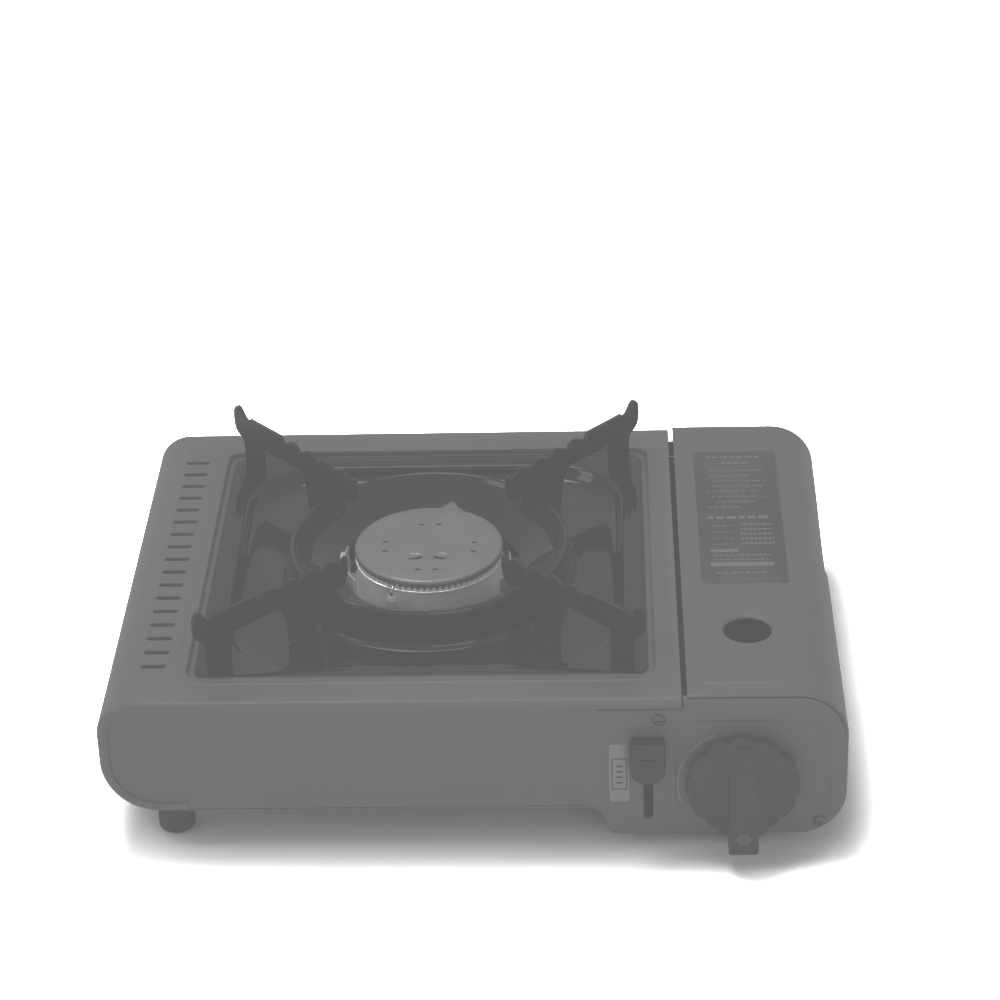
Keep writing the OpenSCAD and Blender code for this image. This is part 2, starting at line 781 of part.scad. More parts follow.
module control_knob() {
  lobe_r = knob_r + 2.6;
  color(plastic) difference() {
    union() {
      difference() {
        rod_y(knob_x, knob_z, knob_r, front_y - 8, front_y - 4);
        for (a = [15 : 30 : 345])
          rod_y(knob_x + lobe_r * cos(a), knob_z + lobe_r * sin(a), 4, front_y - 9, front_y - 3);
      }
      rod_y(knob_x, knob_z, knob_r - 8, front_y - 4.1, front_y - 0.4);
      // Bar grip, deepest at its lower end
      along_x(knob_x - 6.7, knob_x + 6.7) polygon([
        [front_y - 7, knob_z + 22], [front_y - 14, knob_z + 10], [front_y - 21, knob_z + 2],
        [front_y - 22, knob_z - 4], [front_y - 22, knob_z - 26.4], [front_y - 20, knob_z - 28.4],
        [front_y - 6, knob_z - 28.4], [front_y - 5, knob_z - 20]
      ]);
    }
    rod_y(knob_x, knob_z, spindle_r + 0.02, front_y - 14, front_y + 1);
  }
}

module valve_spindle() {
  color(steel) rod_y(knob_x, knob_z, spindle_r, front_y - 13.5, -93);
}

module lock_lever() {
  color(plastic) {
    along_y(front_y - 8, front_y - 0.5) corner_rect(72.1, 37.2, 87.9, 60.2, 7.8, 7.8, 0.8, 0.8);
    along_y(front_y - 0.6, panel_back + 2.2) lever_neck(0);
  }
}

// Section of the lever's neck, drawn outwards by i.
module lever_neck(i) {
  corner_rect(lever_x - 1.9 - i, 37.4 - i, lever_x + 1.9 + i, 43.5 + i, 1.8, 1.8, 1.8, 1.8);
}

module lever_slide() {
  color(steel) difference() {
    union() {
      block(76, 84.2, panel_back + 0.4, panel_back + 1.4, 33, 47);
      block(83.2, 84.2, panel_back + 1.3, -105, 34, 44);
    }
    along_y(panel_back - 1, panel_back + 3) lever_neck(0.05);
    along_x(82, 85) corner_rect(-112.8, lever_z0 - 2, -106, lever_z0 + 2, 1.9, 1.9, 1.9, 1.9);
  }
}

// Two-armed crank that turns the lever's fall into the carriage's forward pull.
module crank_arm() {
  color(steel) {
    rod_x(crank_y, crank_z, 2.5, 86, 95.2);
    rod_x(crank_y, crank_z, 4, 85.6, 87.2);
    rod_x(crank_y, crank_z, 4, 93, 94.6);
    translate([0, crank_y, crank_z]) rotate([-crank_swing, 0, 0]) {
      block(85.6, 87.2, -crank_arm_l, 0, -2.4, 2.4);
      rod_x(-crank_arm_l, 0, 2.4, 85.6, 87.2);
      rod_x(-crank_arm_l, 0, 1.5, 82.6, 86);
      block(93, 94.6, -2.4, 2.4, 0, crank_push_r);
      rod_x(0, crank_push_r, 2.4, 93, 94.6);
      rod_x(0, crank_push_r, 1.4, 94, 97.6);
    }
  }
}

module canister_carriage() {
  color(steel) difference() {
    union() {
      block(114, 151, -55, 131, 7.6, 8.8);
      // Rails that the canister rests on
      for (x = [119, 144]) block(x, x + 2, -55, 129, 8.7, rail_top);
      block(114, 151, 129.5, 131, 7.6, 52);
      block(96, 108.5, -62.2, -51, 7.6, 8.8);
      block(108, 115, -56, -51, 7.6, 8.8);
      block(96, 108, -62.2, -61, 7.6, 18);
      block(96, 97.2, -94, -51, 7.6, 16);
      block(96, 97.2, crank_pin_y - 6, crank_pin_y + 6, 12, 42);
    }
    along_x(95, 98) corner_rect(crank_pin_y - 1.75, 33, crank_pin_y + 1.75, 39.6, 1.7, 1.7, 1.7, 1.7);
  }
}

// Coil spring drawn as a stack of rings round a thin core.
module carriage_spring() {
  turns = 9;
  color(steel) translate([102.5, spring_y1, 13]) rotate([90, 0, 0]) {
    for (i = [0 : turns - 1])
      translate([0, 0, 0.6 + i * (spring_y1 - spring_y0 - 1.2) / (turns - 1)])
        rotate_extrude() translate([3.3, 0]) circle(0.55);
    difference() {
      cylinder(r = 3.3, h = spring_y1 - spring_y0);
      translate([0, 0, -1]) cylinder(r = 2.9, h = 30);
    }
  }
}

// ---------- drip pan and pot support ----------

module drip_pan() {
  color(enamel) at_burner() difference() {
    union() {
      translate([0, 0, pan_z - 1]) linear_extrude(1) round_square(pan_w, 8);
      translate([0, 0, well_z - 0.8]) linear_extrude(pan_z - well_z) round_square(well_w + 1.6, well_r + 0.8);
    }
    translate([0, 0, well_z]) linear_extrude(20) round_square(well_w, well_r);
    translate([0, 0, 60]) cylinder(r = 58, h = 20);
  }
}

module burner_collar() {
  z0 = well_z + 0.05;
  color(enamel) at_burner() {
    turned([
      [72, z0], [74, z0], [74, z0 + 0.8], [70.6, z0 + 0.8], [67.4, 87], [66.6, 88], [65.4, 88], [56, 82],
      [47, 75.5], [collar_hole_r, 74.4], [collar_hole_r, 73.6], [47.4, 74.6], [56.4, 81], [65.8, 86.8],
      [66.4, 86.4], [69.6, z0]
    ]);
    translate([0, 0, 88]) rotate_extrude() translate([collar_r, 0]) circle(1.5);
  }
}

function arm_edge(r) = arm_top - (133 - r) * arm_slope;

// Side outline of one pot arm: distance from the burner axis, and height.
module arm_outline() {
  foot_z = well_z + 0.95;
  teeth = [for (i = [0 : 4], t = tooth)
    let (r = tooth_r - tooth_pitch * i - t[0])
    if (r > 53.5) [r, arm_edge(r) + t[1]]];
  polygon(concat([
    [74.6, foot_z], [89.8, foot_z], [89.8, 78], [91, 84], [93.6, 89.4], [96.5, 92], [124.2, 92],
    [124.6, pan_z + 0.05], [138.5, pan_z + 0.05], [138.2, 92.2], [horn_r - 0.9, 96.8], [horn_r, 104],
    [horn_r - 0.2, horn_z - 2.9], [horn_r - 1.5, horn_z - 0.6], [horn_r - 3, horn_z],
    [horn_r - 4.8, horn_z - 0.9], [138.4, 107], [136.8, 104.9], [135.5, 104.7],
    [133.6, arm_edge(133)], [109, arm_edge(109)]
  ], teeth, [
    [52.9, 102.6], [52.2, 101], [52.2, 96], [53.4, 90.6], [55.4, 87.8], [57.6, 87], [61, 87.6], [64, 89.75],
    [68.2, 89.75], [70.5, 84]
  ]));
}

module pot_arm(a) {
  color(enamel) at_burner() rotate([0, 0, a]) along_y(-arm_t / 2, arm_t / 2) arm_outline();
}

module arm_front_left() {
  pot_arm(arm_angles[0]);
}

module arm_front_right() {
  pot_arm(arm_angles[1]);
}

module arm_back_right() {
  pot_arm(arm_angles[2]);
}

module arm_back_left() {
  pot_arm(arm_angles[3]);
}

// Rivets that hold the arms' feet to the pan.
module arm_rivets() {
  color(enamel) at_burner() for (a = arm_angles) rotate([0, 0, a])
    for (s = [-1, 1]) translate([84, s * 3.6, well_z + 0.02]) turned([[0, 0], [2.1, 0], [1.6, 1], [0, 1.3]]);
}

case_shell();
front_panel();
rear_panel();
base_tray();
bay_wall();
heat_plate();
burner_bracket();
burner_bowl();
port_ring();
burner_cap();
mixing_tube();
gas_jet();
supply_pipe();
regulator_bracket();
regulator_body();
regulator_cover();
regulator_screws();
inlet_nozzle();
inlet_seal();
canister_guide();
igniter_body();
ignition_lead();
electrode_insulator();
electrode_pin();
electrode_bracket();
foot_front_left();
foot_front_right();
foot_back_left();
foot_back_right();
case_screws();
lock_label();
dial_marks();
hinge_brackets();
hinge_pins();
lid_shell();
lid_clip();
lid_label();
control_knob();
valve_spindle();
igniter_cam();
igniter_plunger();
lock_lever();
lever_slide();
crank_arm();
canister_carriage();
carriage_spring();
drip_pan();
burner_collar();
arm_front_left();
arm_front_right();
arm_back_right();
arm_back_left();
arm_rivets();
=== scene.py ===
import json
from math import acos, asin, cos, degrees, pi, radians, sin, sqrt

import bmesh
import bpy
from mathutils import Matrix, Vector
from mathutils.geometry import tessellate_polygon


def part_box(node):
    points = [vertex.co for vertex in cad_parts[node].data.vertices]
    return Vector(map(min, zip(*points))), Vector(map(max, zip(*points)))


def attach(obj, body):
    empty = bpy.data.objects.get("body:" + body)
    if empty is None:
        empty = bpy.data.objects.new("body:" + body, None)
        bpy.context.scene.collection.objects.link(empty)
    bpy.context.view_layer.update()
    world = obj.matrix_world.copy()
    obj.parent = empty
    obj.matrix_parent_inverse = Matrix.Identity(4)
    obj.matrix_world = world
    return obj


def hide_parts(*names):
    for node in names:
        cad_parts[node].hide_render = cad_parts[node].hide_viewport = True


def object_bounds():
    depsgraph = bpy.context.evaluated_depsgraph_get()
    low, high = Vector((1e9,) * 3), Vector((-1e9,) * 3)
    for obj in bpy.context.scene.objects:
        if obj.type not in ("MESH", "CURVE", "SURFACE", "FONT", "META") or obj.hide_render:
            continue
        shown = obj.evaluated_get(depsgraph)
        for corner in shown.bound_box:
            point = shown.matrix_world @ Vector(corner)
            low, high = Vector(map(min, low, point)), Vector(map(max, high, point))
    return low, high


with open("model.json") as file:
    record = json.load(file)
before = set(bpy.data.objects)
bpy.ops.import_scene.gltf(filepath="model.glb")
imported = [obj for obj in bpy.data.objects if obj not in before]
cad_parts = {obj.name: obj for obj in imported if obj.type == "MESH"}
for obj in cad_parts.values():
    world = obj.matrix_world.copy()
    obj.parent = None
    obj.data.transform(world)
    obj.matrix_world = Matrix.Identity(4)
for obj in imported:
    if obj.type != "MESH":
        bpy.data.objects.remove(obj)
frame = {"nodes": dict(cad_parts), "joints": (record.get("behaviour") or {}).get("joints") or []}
CAD_BOX = [list(corner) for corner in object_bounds()]

MM = 0.001
nodes = frame["nodes"]


# ---------- sizes that come from the frame, in millimetres ----------

def corners(node):
    """Lowest and highest corner of a CAD node, in millimetres."""
    low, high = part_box(node)
    return [v / MM for v in low], [v / MM for v in high]


def joint_at(name):
    """A point on a hinge's axis, in millimetres."""
    joint = next(j for j in frame["joints"] if j["name"] == name)
    return [v / MM for v in joint["pos_m"]]


SHELL_LOW, SHELL_HIGH = corners("case_shell")
TRAY_LOW = corners("base_tray")[0]
LID_LOW, LID_HIGH = corners("lid_shell")
PAN_LOW, PAN_HIGH = corners("drip_pan")
COLLAR_LOW, COLLAR_HIGH = corners("burner_collar")
CAP_LOW, CAP_HIGH = corners("burner_cap")
PORTS_LOW, PORTS_HIGH = corners("port_ring")
KNOB_LOW = corners("control_knob")[0]
LEVER_LOW, LEVER_HIGH = corners("lock_lever")
LID_LABEL_LOW, LID_LABEL_HIGH = corners("lid_label")
LOCK_LABEL_LOW, LOCK_LABEL_HIGH = corners("lock_label")
KNOB_X, KNOB_Z = joint_at("knob_turn")[::2]
HINGE_X, HINGE_Z = joint_at("lid_hinge")[::2]

HALF = -SHELL_LOW[0]                # half the width of the case
TOP = corners("rear_panel")[1][2] + 1.4
FRONT = SHELL_LOW[1]
BACK = SHELL_HIGH[1]
LEFT_Z = SHELL_LOW[2]               # underside on the burner side
RIGHT_Z = TRAY_LOW[2]               # underside on the canister side
SHELL_X1 = SHELL_HIGH[0]            # right end of the shell's top
BURNER = ((CAP_LOW[0] + CAP_HIGH[0]) / 2, (CAP_LOW[1] + CAP_HIGH[1]) / 2)
CAP_R = (CAP_HIGH[0] - CAP_LOW[0]) / 2
PAN_W = PAN_HIGH[0] - PAN_LOW[0]
PAN_OPEN = 214.4
SHEET = 1.0
R_TOP_LEFT, R_BOTTOM_LEFT, R_TOP_RIGHT, R_BOTTOM_RIGHT, R_STEP, R_STEP_IN = 17, 27, 22, 21, 7, 8
STEP_X = 60
LIP_X = -131
WRAP_Z = LID_LOW[2]
BORDER_W = 4.8
BORDER_T = 0.8
CREASE_X = 56.7
FIELD_DEPTH = 0.6
VIEW_HOLE = (127.4, -60.5)
VIEW_R = 11.1
LID_TOP = LID_HIGH[2] - 0.4
LID_SIDE = LID_HIGH[0] - HALF


# ---------- materials ----------

def new_material(name):
    material = bpy.data.materials.new(name)
    material.use_nodes = True
    tree = material.node_tree
    shader = tree.nodes["Principled BSDF"]
    return material, tree, shader


def coords(tree, scale=(1, 1, 1)):
    """Object coordinates in metres; every object sits at the origin, so they are places in the row frame."""
    source = tree.nodes.new("ShaderNodeTexCoord")
    mapping = tree.nodes.new("ShaderNodeMapping")
    mapping.inputs["Scale"].default_value = scale
    tree.links.new(source.outputs["Object"], mapping.inputs["Vector"])
    return mapping.outputs["Vector"]


def noise(tree, vector, scale, detail=3.0, rough=0.5):
    node = tree.nodes.new("ShaderNodeTexNoise")
    node.inputs["Scale"].default_value = scale
    node.inputs["Detail"].default_value = detail
    node.inputs["Roughness"].default_value = rough
    tree.links.new(vector, node.inputs["Vector"])
    return node.outputs["Fac"]


def remap(tree, value, low, high, out_low, out_high):
    node = tree.nodes.new("ShaderNodeMapRange")
    node.inputs["From Min"].default_value = low
    node.inputs["From Max"].default_value = high
    node.inputs["To Min"].default_value = out_low
    node.inputs["To Max"].default_value = out_high
    tree.links.new(value, node.inputs["Value"])
    return node.outputs["Result"]


def tint(tree, factor, dark, light):
    """Colour between two greys or colours."""
    node = tree.nodes.new("ShaderNodeMix")
    node.data_type = "RGBA"
    node.inputs["A"].default_value = (*dark, 1)
    node.inputs["B"].default_value = (*light, 1)
    tree.links.new(factor, node.inputs["Factor"])
    return node.outputs["Result"]


def bump(tree, shader, height, strength, distance):
    node = tree.nodes.new("ShaderNodeBump")
    node.inputs["Strength"].default_value = strength
    node.inputs["Distance"].default_value = distance
    tree.links.new(height, node.inputs["Height"])
    tree.links.new(node.outputs["Normal"], shader.inputs["Normal"])
    return node


def grey(v):
    return (v, v, v)


def scaled(colour, k):
    return tuple(c * k for c in colour)


def painted_edge_light(tree, amount):
    """0 on flat stretches and up to 1 along sharp outer edges."""
    # painted highlight: sharp edges come out lighter, as if they caught the light
    geometry = tree.nodes.new("ShaderNodeNewGeometry")
    edge = remap(tree, geometry.outputs["Pointiness"], 0.53, 0.60, 0, amount)
    return edge


def coated(name, colour, roughness, grain_scale, grain_strength, variation=0.06, coat=0.0, gloss=0.5,
           edge_highlight=0.0):
    """Painted, enamelled or moulded surface: slight mottling, a grain in the bump and in the gloss, and where asked
    a painted highlight that lightens the colour along sharp edges.
    """
    material, tree, shader = new_material(name)
    vector = coords(tree)
    cloud = noise(tree, vector, 22, 4, 0.6)
    fine = noise(tree, vector, grain_scale, 2, 0.55)
    base = tint(tree, remap(tree, cloud, 0.3, 0.7, 0, 1), scaled(colour, 1 - variation),
                scaled(colour, 1 + variation))
    # painted highlight: the colour is mixed towards a lighter grey along sharp edges
    if edge_highlight:
        mix = tree.nodes.new("ShaderNodeMix")
        mix.data_type = "RGBA"
        mix.inputs["B"].default_value = (*scaled(colour, 1.45), 1)
        tree.links.new(base, mix.inputs["A"])
        tree.links.new(painted_edge_light(tree, edge_highlight), mix.inputs["Factor"])
        base = mix.outputs["Result"]
    tree.links.new(base, shader.inputs["Base Color"])
    tree.links.new(remap(tree, fine, 0.3, 0.7, roughness * 0.88, roughness * 1.12),
                   shader.inputs["Roughness"])
    shader.inputs["Specular IOR Level"].default_value = gloss
    shader.inputs["Coat Weight"].default_value = coat
    shader.inputs["Coat Roughness"].default_value = 0.04
    bump(tree, shader, fine, grain_strength, 0.0004)
    return material


def metal(name, colour, roughness, streak=(1, 1, 1), scale=300, strength=0.15, variation=0.12,
          metallic=1.0):
    """Bare metal; streak stretches the grain, so a small number runs the brushing along that axis."""
    material, tree, shader = new_material(name)
    vector = coords(tree, streak)
    grain = noise(tree, vector, scale, 4, 0.65)
    cloud = noise(tree, coords(tree), 30, 3, 0.6)
    base = tint(tree, remap(tree, cloud, 0.3, 0.7, 0, 1), scaled(colour, 1 - variation),
                scaled(colour, 1 + variation))
    tree.links.new(base, shader.inputs["Base Color"])
    tree.links.new(remap(tree, grain, 0.25, 0.75, roughness * 0.7, roughness * 1.3),
                   shader.inputs["Roughness"])
    shader.inputs["Metallic"].default_value = metallic
    bump(tree, shader, grain, strength, 0.0002)
    return material


def turned_metal(name, colour, roughness, rings, centre, strength=0.2, metallic=1.0):
    """Metal turned on a lathe: fine rings about the burner's axis."""
    material, tree, shader = new_material(name)
    source = tree.nodes.new("ShaderNodeTexCoord")
    shift = tree.nodes.new("ShaderNodeVectorMath")
    shift.operation = "SUBTRACT"
    shift.inputs[1].default_value = (centre[0] * MM, centre[1] * MM, 0)
    tree.links.new(source.outputs["Object"], shift.inputs[0])
    split = tree.nodes.new("ShaderNodeSeparateXYZ")
    tree.links.new(shift.outputs[0], split.inputs[0])
    flat = tree.nodes.new("ShaderNodeCombineXYZ")
    tree.links.new(split.outputs["X"], flat.inputs["X"])
    tree.links.new(split.outputs["Y"], flat.inputs["Y"])
    length = tree.nodes.new("ShaderNodeVectorMath")
    length.operation = "LENGTH"
    tree.links.new(flat.outputs[0], length.inputs[0])
    polar = tree.nodes.new("ShaderNodeCombineXYZ")
    tree.links.new(length.outputs["Value"], polar.inputs["X"])
    tree.links.new(split.outputs["Z"], polar.inputs["Z"])
    rings_out = noise(tree, polar.outputs[0], rings, 3, 0.6)
    cloud = noise(tree, source.outputs["Object"], 45, 4, 0.6)
    base = tint(tree, remap(tree, cloud, 0.3, 0.7, 0, 1), scaled(colour, 0.9), scaled(colour, 1.08))
    tree.links.new(base, shader.inputs["Base Color"])
    tree.links.new(remap(tree, rings_out, 0.3, 0.7, roughness * 0.75, roughness * 1.25),
                   shader.inputs["Roughness"])
    shader.inputs["Metallic"].default_value = metallic
    bump(tree, shader, rings_out, strength, 0.0002)
    return material


def spangled_metal(name, colour, roughness):
    """Zinc-plated sheet: large soft crystals and a fine grain."""
    material, tree, shader = new_material(name)
    vector = coords(tree)
    crystals = tree.nodes.new("ShaderNodeTexVoronoi")
    crystals.inputs["Scale"].default_value = 160
    tree.links.new(vector, crystals.inputs["Vector"])
    split = tree.nodes.new("ShaderNodeSeparateColor")
    tree.links.new(crystals.outputs["Color"], split.inputs[0])
    base = tint(tree, split.outputs["Red"], scaled(colour, 0.86), scaled(colour, 1.1))
    tree.links.new(base, shader.inputs["Base Color"])
    tree.links.new(remap(tree, split.outputs["Green"], 0, 1, roughness * 0.8, roughness * 1.2),
                   shader.inputs["Roughness"])
    shader.inputs["Metallic"].default_value = 1.0
    bump(tree, shader, noise(tree, vector, 900, 3), 0.12, 0.0002)
    return material


# The edge amounts given below paint a highlight along sharp edges; on the pot arms it paints the glints on their
# teeth.
PAINT = coated("satin_case_paint", grey(0.135), 0.42, 2600, 0.16, 0.03, edge_highlight=0.3)
PAINT_FRONT = coated("satin_front_paint", grey(0.135), 0.45, 2600, 0.16, 0.03, edge_highlight=0.25)
ENAMEL = coated("glossy_enamel", grey(0.012), 0.07, 500, 0.03, 0.1, gloss=0.42)
ARM_ENAMEL = coated("arm_enamel", grey(0.014), 0.22, 1500, 0.25, 0.1, gloss=0.3, edge_highlight=1.0)
CAST = turned_metal("satin_burner_alloy", grey(0.3), 0.6, 2600, BURNER, 0.18)
POLISHED = turned_metal("polished_burner_skirt", grey(0.95), 0.36, 1800, BURNER, 0.1, 0.3)
ZINC = spangled_metal("zinc_plated_sheet", grey(0.7), 0.34)
GUARD = metal("polished_wind_guard", grey(0.6), 0.3, (1, 1, 6), 500, 0.06, 0.05, 0.5)
BRIGHT = metal("bright_plated_steel", grey(0.5), 0.25, (1, 1, 6), 500, 0.06, 0.05)
SCREW = metal("blackened_screw_steel", grey(0.16), 0.34, (1, 1, 1), 700, 0.1, 0.1)
DIE_CAST = metal("die_cast_alloy", grey(0.42), 0.5, (1, 1, 1), 900, 0.35)
BRASS = metal("turned_brass", (0.55, 0.42, 0.2), 0.28, (1, 8, 8), 600, 0.1)
# painted highlight along the knob's and the lever's sharp edges
KNOB_PLASTIC = coated("knob_plastic", grey(0.030), 0.46, 1900, 0.3, 0.06, gloss=0.42, edge_highlight=0.6)
LEVER_PLASTIC = coated("lever_plastic", grey(0.026), 0.4, 1900, 0.12, 0.06, gloss=0.38, edge_highlight=0.5)
IGNITER_PLASTIC = coated("igniter_plastic", grey(0.2), 0.5, 1500, 0.2)
SLEEVE = coated("lead_sleeve", grey(0.45), 0.6, 1200, 0.2)
CERAMIC = coated("glazed_ceramic", grey(0.5), 0.3, 500, 0.05, coat=0.2)
RUBBER = coated("foot_rubber", grey(0.035), 0.75, 1400, 0.5, 0.1)
LABEL_DARK = coated("dark_label_film", grey(0.07), 0.36, 2200, 0.05, 0.03, gloss=0.4)
LABEL_LIGHT = coated("light_label_film", grey(0.3), 0.4, 2200, 0.05, 0.03)
PRINT = coated("label_print", grey(0.21), 0.45, 2500, 0.05, 0.08, gloss=0.4)
PRINT_LIGHT = coated("dial_print", grey(0.22), 0.45, 2500, 0.05, 0.06)
# painted shade: a flat dark colour for thin pieces laid where the burner's slots, wings and flame ports hold shade
PAINTED_SHADE = coated("painted_slot_shade", grey(0.03), 0.6, 2500, 0.1, 0.06, gloss=0.2)
MARK_FILL = coated("knob_mark_fill", grey(0.09), 0.45, 2500, 0.1, 0.06, gloss=0.4)


# ---------- making pieces ----------

def finish_mesh(mesh, material, sharp):
    mesh.materials.append(material)
    mesh.polygons.foreach_set("use_smooth", [True] * len(mesh.polygons))
    mesh.set_sharp_from_angle(angle=radians(sharp))
    mesh.update()


def make(name, verts, faces, material, sharp=32):
    """New object from points in millimetres."""
    mesh = bpy.data.meshes.new(name)
    mesh.from_pydata([[c * MM for c in v] for v in verts], [], faces)
    tool = bmesh.new()
    tool.from_mesh(mesh)
    bmesh.ops.remove_doubles(tool, verts=tool.verts, dist=1e-7)
    bmesh.ops.recalc_face_normals(tool, faces=tool.faces)
    tool.to_mesh(mesh)
    tool.free()
    finish_mesh(mesh, material, sharp)
    piece = bpy.data.objects.new(name, mesh)
    bpy.context.scene.collection.objects.link(piece)
    return piece


def place(piece, body, slot, *stands_for):
    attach(piece, body)
    if stands_for:
        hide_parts(*stands_for)
    return piece


def apply_modifiers(piece):
    """Bakes a piece's modifiers into its mesh."""
    graph = bpy.context.evaluated_depsgraph_get()
    baked = bpy.data.meshes.new_from_object(piece.evaluated_get(graph), preserve_all_data_layers=True,
                                            depsgraph=graph)
    piece.modifiers.clear()
    piece.data = baked


def cut(piece, cutters, sharp=32):
    """Takes the cutters out of a piece and deletes them."""
    for cutter in cutters:
        modifier = piece.modifiers.new("cut", "BOOLEAN")
        modifier.operation = "DIFFERENCE"
        modifier.solver = "EXACT"
        modifier.object = cutter
        modifier.material_mode = "INDEX"
        apply_modifiers(piece)
        bpy.data.objects.remove(cutter)
    piece.data.polygons.foreach_set("use_smooth", [True] * len(piece.data.polygons))
    piece.data.set_sharp_from_angle(angle=radians(sharp))


def join(name, pieces):
    """One object out of several, in the order given."""
    for other in bpy.context.selected_objects:
        other.select_set(False)
    for piece in pieces:
        piece.select_set(True)
    bpy.context.view_layer.objects.active = pieces[0]
    bpy.ops.object.join()
    pieces[0].name = name
    return pieces[0]


def soften(piece, width, segments=2, angle=35):
    """Rounds the sharp edges and keeps flat faces flat in the shading."""
    modifier = piece.modifiers.new("soft_edges", "BEVEL")
    modifier.width = width * MM
    modifier.segments = segments
    modifier.limit_method = "ANGLE"
    modifier.angle_limit = radians(angle)
    modifier.harden_normals = True
    modifier.use_clamp_overlap = True
    return piece


def flat_shading(piece):
    modifier = piece.modifiers.new("flat_faces", "WEIGHTED_NORMAL")
    modifier.keep_sharp = True
    modifier.weight = 80
    return piece


# ---------- outlines ----------

def arc(x, y, r, a0, a1, n):
    """n + 1 points along an arc, angles in degrees."""
    steps = [radians(a0 + (a1 - a0) * i / n) for i in range(n + 1)]
    return [(x + r * cos(a), y + r * sin(a)) for a in steps]


def round_rect(x0, y0, x1, y1, r, n=8):
    """Rounded rectangle, anticlockwise; r is one radius, or four from the bottom left round to the top left."""
    bl, br, tr, tl = r if isinstance(r, (tuple, list)) else (r, r, r, r)
    return (arc(x0 + bl, y0 + bl, bl, 180, 270, n) + arc(x1 - br, y0 + br, br, 270, 360, n)
            + arc(x1 - tr, y1 - tr, tr, 0, 90, n) + arc(x0 + tl, y1 - tl, tl, 90, 180, n))


def round_square(width, r, centre=BURNER, n=16):
    half = width / 2
    return round_rect(centre[0] - half, centre[1] - half, centre[0] + half, centre[1] + half,
                      min(r, half), n)


def circle(x, y, r, n=48):
    return arc(x, y, r, 0, 360 - 360 / n, n - 1)


ARC_POINTS = 15


def case_path(i, n=ARC_POINTS - 1):
    """Outline of the case seen from the front, drawn inwards by i, anticlockwise from the top left corner."""
    return (arc(-HALF + R_TOP_LEFT, TOP - R_TOP_LEFT, R_TOP_LEFT - i, 90, 180, n)
            + arc(-HALF + R_BOTTOM_LEFT, LEFT_Z + R_BOTTOM_LEFT, R_BOTTOM_LEFT - i, 180, 270, n)
            + arc(STEP_X - R_STEP_IN, LEFT_Z - R_STEP_IN, R_STEP_IN + i, 90, 0, n)
            + arc(STEP_X + R_STEP, RIGHT_Z + R_STEP, R_STEP - i, 180, 270, n)
            + arc(HALF - R_BOTTOM_RIGHT, RIGHT_Z + R_BOTTOM_RIGHT, R_BOTTOM_RIGHT - i, 270, 360, n)
            + arc(HALF - R_TOP_RIGHT, TOP - R_TOP_RIGHT, R_TOP_RIGHT - i, 0, 90, n))


def bridge(rings, closed=True, caps=(False, False)):
    """Points and faces of a skin between rings that all have the same number of points."""
    verts = [p for ring in rings for p in ring]
    count = len(rings[0])
    faces = []
    for j in range(len(rings) - 1):
        for k in range(count if closed else count - 1):
            a, b = j * count + k, j * count + (k + 1) % count
            faces.append((a, b, b + count, a + count))
    if caps[0]:
        faces.append(tuple(range(count - 1, -1, -1)))
    if caps[1]:
        faces.append(tuple(range((len(rings) - 1) * count, len(rings) * count)))
    return verts, faces


def loft(name, rings, material, caps=(False, False), sharp=32):
    verts, faces = bridge(rings, True, caps)
    return make(name, verts, faces, material, sharp)


def flat_sheet(outer, features):
    """Closed sheet: outer holds rings from the front face round the edge to the back face.

    A feature is one list of rings for a through hole, or two lists, front and back, for a pressed field.
    """
    verts, faces = [], []

    def add(rings, caps=(False, False)):
        more, sides = bridge(rings, True, caps)
        start = len(verts)
        verts.extend(more)
        faces.extend(tuple(i + start for i in face) for face in sides)

    add(outer)
    fronts, backs = [outer[0]], [outer[-1]]
    for feature in features:
        if len(feature) == 2:
            add(feature[0], (False, True))
            add(feature[1], (False, True))
            fronts.append(feature[0][0])
            backs.append(feature[1][0])
        else:
            add(feature[0])
            fronts.append(feature[0][0])
            backs.append(feature[0][-1])
    for loops in (fronts, backs):
        start = len(verts)
        verts.extend(p for loop in loops for p in loop)
        flat = [[Vector((p[0], p[2], 0)) for p in loop] for loop in loops]
        faces.extend(tuple(i + start for i in triangle) for triangle in tessellate_polygon(flat))
    return verts, faces


def sweep_profile(path_at, profile):
    """Closed solid: a closed profile of (inset, y) carried along an open path of X and Z."""
    rings = []
    paths = [path_at(inset) for inset, _ in profile]
    for k in range(len(paths[0])):
        rings.append([(paths[j][k][0], profile[j][1], paths[j][k][1]) for j in range(len(profile))])
    return bridge(rings, True, (True, True))


def prism(name, outline, low, high, material, axis="z", sharp=32):
    """Outline extruded along an axis; for y the outline is in X and Z, for x in Y and Z."""
    order = {"z": lambda p, h: (p[0], p[1], h), "y": lambda p, h: (p[0], h, p[1]), "x": lambda p,
             h: (h, p[0], p[1])}
    rings = [[order[axis](p, h) for p in outline] for h in (low, high)]
    return loft(name, rings, material, (True, True), sharp)


def lathe(name, profile, material, centre=BURNER, n=128, closed=False, sharp=32):
    """Turned surface about a vertical axis from (radius, height) points."""
    rings = [[(centre[0] + r * cos(2 * pi * k / n), centre[1] + r * sin(2 * pi * k / n), z)
              for k in range(n)]
             for r, z in profile]
    if closed:
        rings.append(rings[0])
    return loft(name, rings, material, (False, False), sharp)


